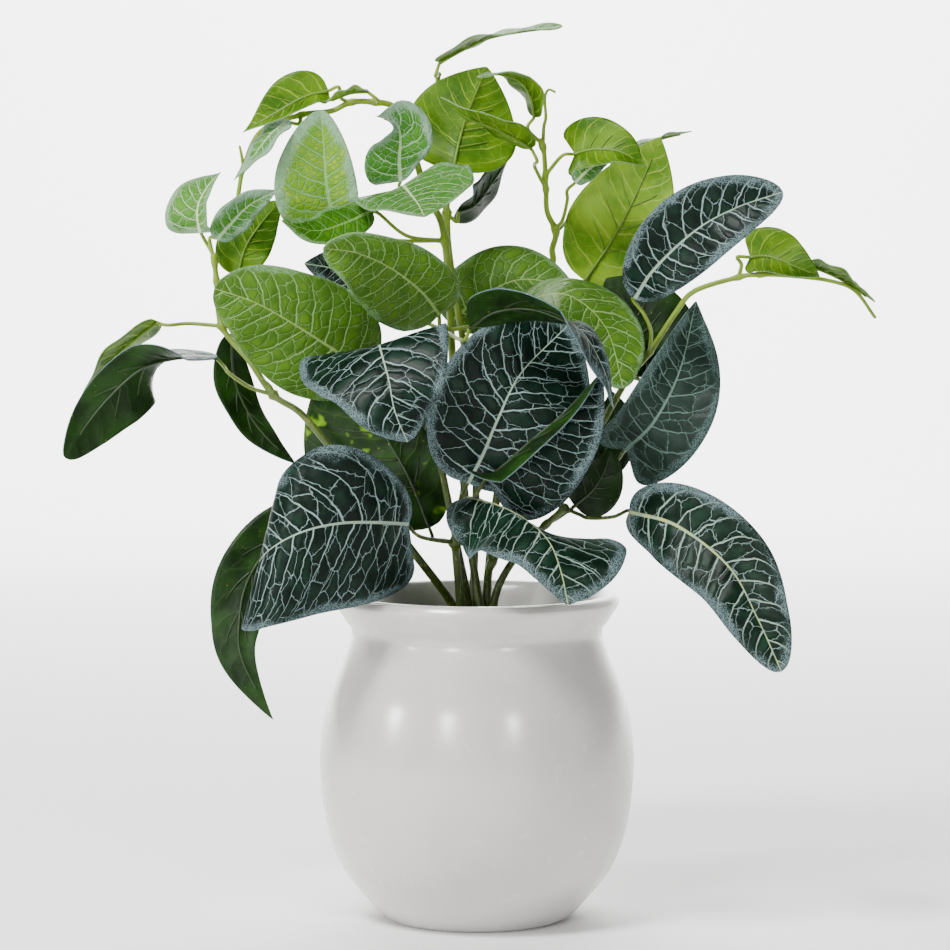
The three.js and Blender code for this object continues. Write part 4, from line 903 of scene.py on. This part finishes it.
def cut_edge(name, colour, thread):
    finish, tree, shader = new_finish(name, 0.75)
    frayed = patchy(tree, 0.4, 2, 0.4, 0.6)
    tree.links.new(mixed(tree, frayed, colour, thread), shader.inputs["Base Color"])
    raise_surface(tree, shader, frayed, 0.1, 0.6)
    return finish


dark_edge = cut_edge("dark_cut_edge", "3a5052", "5f7a7c")
green_edge = cut_edge("green_cut_edge", "4f7a3a", "7f9f6a")
# In each print below, the second colour (lit) is the painted satin highlight in the cells' middles.
dark_print = printed_side("dark_vein_print", "05120c", "10291d", "7f9894", "8fa48f", "66777a", "263938",
                          edge_width=6, width=1.12)
worn_print = printed_side("worn_vein_print", "08150e", "14261b", "5f7870", "688072", "526563", "24382f",
                          film="3c5048", film_share=0.3, core_share=0.2, edge_width=6, vein_strength=0.85,
                          width=1.15, boldness=0.85)
yellow_print = printed_side("yellow_vein_print", "06160c", "133020", "7f9892", "a3b070", "66777a", "263938",
                            core_share=0.7, edge_width=7, width=1.12)
fresh_print = printed_side("fresh_vein_print", "34590c", "4f7410", "93b472", "94b064", "6f9064", "48703a",
                           film="88a866", film_share=0.08, vein_strength=0.85, fineness=1.35,
                           boldness=0.8, gloss=0.06)
pale_print = printed_side("pale_vein_print", "306c10", "4a801a", "b4cfa4", "bccf9c", "86a584", "6a9066",
                          film="7fa468", film_share=0.22, core_share=0.2, edge_width=4, gloss=0.04)
mint_print = printed_side("mint_vein_print", "285f0a", "3c7414", "a2c092", "a6bf88", "7a9878", "5d8458",
                          film="829f6e", film_share=0.16, core_share=0.2, gloss=0.03)
silver_print = printed_side("silver_vein_print", "2a6606", "447c0c", "a2c29a", "a8c296", "86a38c", "6a8f70",
                            film="7fa278", film_share=0.12, core_share=0.2, edge_width=5.5, width=1.3,
                            fineness=1.45, boldness=0.75, gloss=0.04)
sunny_print = printed_side("sunny_vein_print", "4c7c06", "86a00a", "92b68a", "90b27c", "809f86", "6a9464",
                           film="7a9e70", film_share=0.1, edge_width=8, width=1.5, fineness=2.3,
                           boldness=0.4, gloss=0.03)
plain_print = printed_side("plain_vein_print", "265400", "42700a", "7a9c5c", "80a25c", "6a8c60", "4a7838",
                           vein_strength=0.6, fineness=1.35, boldness=0.7, gloss=0.06)
dark_below = plain_side("dark_underside", "081c02", "183806", "30521a", 0.12, flecks=0.6)
patched_below = plain_side("patched_underside", "0a2003", "1a3c06", "5f7f1a", 0.15, patch="6f9e06",
                           flecks=0.7)
fresh_below = plain_side("fresh_underside", "2e5400", "547804", "86a030", 0.7, flecks=0.3, fineness=1.3)
bright_below = plain_side("bright_underside", "4a7410", "789c22", "a0b04a", 0.65, fineness=1.3)

prints = {
    "dark": ((dark_print, dark_below, dark_edge), "dark_leaf_cloth"),
    "fresh": ((fresh_print, fresh_below, green_edge), "fresh_leaf_cloth"),
    "pale": ((pale_print, bright_below, green_edge), "pale_leaf_cloth"),
}
other_tops = {
    "leaf_front_arched": yellow_print, "leaf_right_low": yellow_print, "leaf_right_curled": worn_print,
    "leaf_top_tip": mint_print, "leaf_top_left_near": mint_print, "leaf_crook_high": mint_print,
    "leaf_top_left_twisted": silver_print, "leaf_left_netted": silver_print,
    "leaf_top_left_hanging": silver_print, "leaf_top_left_tall": sunny_print,
    "leaf_top_left_narrow": plain_print,
}
other_undersides = {"leaf_front_back": patched_below, "leaf_top_round": fresh_below,
                    "leaf_spray_broad": bright_below}
leaves = {name: {**usual_leaf, **leaf} for name, leaf in leaves.items()}
for number, (name, leaf) in enumerate(leaves.items()):
    for pair in ("half", "shapes", "fold", "curl", "lobe"):
        leaf[pair] = both(leaf[pair])
    leaf["number"] = number
    leaf["line"] = np.array([stand(point) for point in leaf["rib"]])
    rib_frames(leaf, np.array([0.0]))
    (top, below, cut), slot = prints[leaf["print"]]
    finishes = [other_tops.get(name, top), other_undersides.get(name, below), cut]
    blade = make_blade(name + "_blade", leaf, finishes)
    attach(blade, "root")
    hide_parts(name)

# The stalks and ribs: each blade's plastic stalk leaves a shoot at a ring, meets the blade from
# below and runs on under it as a raised rib, with a few side ribs that hold the cloth in shape.
stalk_radius, stalk_end_radius, stalk_sides, stalk_steps_a_point = 0.85, 0.7, 10, 9
stalk_swelling = (1.35, 1.2, 1.05)
stalk_gap, stalk_lead = 1.05, 3.5
rib_reach, rib_end_radius, rib_steps, rib_sink, rib_drop = 0.86, 0.3, 30, 0.55, 0.5
side_ribs, side_rib_steps, side_rib_sides = (0.22, 0.38, 0.54), 8, 6
side_rib_reach, side_rib_sweep, side_rib_from = 0.5, 0.13, 0.02
side_rib_radius, side_rib_end_radius = 0.42, 0.16

rib_plastics = {}
for name, low, high, worn in (("dark", "122606", "22390c", "33381a"),
                              ("fresh", "46680c", "62821a", "6c7c2c")):
    plastic_of_rib, tree, shader = new_finish(name + "_rib_plastic", 0.45)
    colour = mixed(tree, grain(tree, 5, 3), low, high)
    colour = mixed(tree, patchy(tree, 2, 2, 0.6, 0.75), colour, worn)
    tree.links.new(colour, shader.inputs["Base Color"])
    raise_surface(tree, shader, grain(tree, 0.8, 2), 0.15, 0.6)
    rib_plastics[name] = plastic_of_rib

ring_places = {name: [] for name in stems}
for name, stem in stems.items():
    if "joins" in stem:
        ring_places[stem["joins"]].append(stem["at"])
for name, leaf in leaves.items():
    foot, forward, _, normal = (values[0] for values in rib_frames(leaf, np.array([0.0])))
    end = foot - normal * stalk_gap
    before = end - (normal + forward) * stalk_lead
    start = curve_through(routes[leaf["on"]], [leaf["at"]])[0][0]
    way = np.array([start, *[stand(point) for point in leaf["via"]], before, end])
    ring_places[leaf["on"]].append(leaf["at"])
    places, _ = curve_through(way, np.linspace(0, len(way) - 1, stalk_steps_a_point * len(way)))
    thickness = np.linspace(stalk_radius, stalk_end_radius, len(places))
    thickness[:len(stalk_swelling)] *= stalk_swelling
    bars = [round_bar(places, thickness, stalk_sides)]
    stalk_faces = len(bars[0][1])

    u = np.linspace(0.0, rib_reach, rib_steps)
    radii = stalk_end_radius + (rib_end_radius - stalk_end_radius) * u / rib_reach
    level = np.zeros_like(u)
    drop = (radii * rib_sink + rib_drop)[:, None]
    under = blade_places(leaf, u, level) - blade_normals(leaf, u, level) * drop
    under[0] = end
    bars.append(round_bar(under, radii, stalk_sides))
    for from_share in side_ribs:
        for side in (-1, 1):
            out = np.linspace(side_rib_from, 1, side_rib_steps)
            su, ss = from_share + side_rib_sweep * out, side * side_rib_reach * out
            inner = blade_places(leaf, su, ss) - blade_normals(leaf, su, ss) * side_rib_radius
            radii = np.linspace(side_rib_radius, side_rib_end_radius, side_rib_steps)
            bars.append(round_bar(inner, radii, side_rib_sides))
    points, faces = joined(bars)
    kinds = [0] * stalk_faces + [1] * (len(faces) - stalk_faces)
    rib_plastic = rib_plastics["dark" if leaf["print"] == "dark" else "fresh"]
    stalk = new_piece(name + "_stalk", points, faces, [plastic, rib_plastic], kinds)
    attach(stalk, "root")

for name in stems:
    if "joins" in stems[name]:
        continue
    bars = [stem_bar(name, ring_places[name])]
    bars += [stem_bar(twig, ring_places[twig]) for twig in stems if stems[twig].get("joins") == name]
    points, faces = joined(bars)
    shoot = new_piece("shoot_" + name, points, faces, [plastic])
    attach(shoot, "root")
    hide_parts("stem_" + name)

# The studio: a wide sheet of white paper that curves up far behind, three small soft lights before
# the plant and one above, a weak one behind it, one on the paper, and the camera, level with the
# upper leaves and tipped down a little.
sweep_width, sweep_front, sweep_back, sweep_rise, sweep_radius = 11.0, -5.5, 3.2, 3.0, 1.2
sweep_steps = 24
belly, leaves_middle = (0, 0, 0.15), (0, 0, 0.2)
world_strength = 0.1
paper, tree, shader = new_finish("white_paper", 0.9)
shade = mixed(tree, grain(tree, 300, 2), "f6f6f5", "fafafa")
tree.links.new(shade, shader.inputs["Base Color"])
sweep_line = [(sweep_front, 0.0)]
for angle in np.linspace(0, math.pi / 2, sweep_steps):
    sweep_line.append((sweep_back - sweep_radius + sweep_radius * math.sin(angle),
                       sweep_radius * (1 - math.cos(angle))))
sweep_line.append((sweep_back, sweep_rise))
floor_points = [(x, y, z) for y, z in sweep_line for x in (-sweep_width / 2, sweep_width / 2)]
floor_faces = [(2 * k, 2 * k + 1, 2 * k + 3, 2 * k + 2) for k in range(len(sweep_line) - 1)]
floor = new_piece("pale_floor", np.array(floor_points) / MM, floor_faces, [paper])


def soft_light(name, place, aim, size, power):
    lamp = bpy.data.lights.new(name, "AREA")
    lamp.shape = "RECTANGLE"
    lamp.size, lamp.size_y = size
    lamp.energy = power
    holder = bpy.data.objects.new(name, lamp)
    holder.location = place
    direction = np.array(aim) - np.array(place)
    yaw = math.atan2(direction[1], direction[0])
    pitch = math.atan2(math.hypot(direction[0], direction[1]), -direction[2])
    holder.rotation_euler = (pitch, 0, yaw - math.pi / 2)
    bpy.context.scene.collection.objects.link(holder)


soft_light("left_window", (-1.03, -0.49, 0.39), belly, (0.18, 0.18), 6.4)
soft_light("left_softbox", (-0.46, -1.14, 0.46), belly, (0.14, 0.16), 5.4)
soft_light("right_softbox", (0.57, -1.11, 0.44), belly, (0.14, 0.16), 3.5)
soft_light("top_softbox", (-0.45, -0.6, 1.12), leaves_middle, (0.3, 0.3), 20)
soft_light("rear_light", (0.1, 0.7, 1.3), leaves_middle, (0.7, 0.7), 2)
soft_light("backdrop_light", (0.0, 2.0, 2.3), (0, 3.1, 0.5), (3.2, 0.8), 330)
world = bpy.data.worlds.new("studio_air")
world.use_nodes = True
world.node_tree.nodes["Background"].inputs[0].default_value = (1, 1, 1, 1)
world.node_tree.nodes["Background"].inputs[1].default_value = world_strength
bpy.context.scene.world = world

sensor_width, focal_share, tip_down, camera_across = 36, 3300 / 950, 3.8, -0.8
camera = bpy.data.cameras.new("camera")
camera.sensor_width = sensor_width
camera.lens = sensor_width * focal_share
holder = bpy.data.objects.new("camera", camera)
holder.location = (camera_across * MM, -eye_distance * MM, eye_height * MM)
holder.rotation_euler = (math.radians(90 - tip_down), 0, 0)
bpy.context.scene.collection.objects.link(holder)
bpy.context.scene.camera = holder
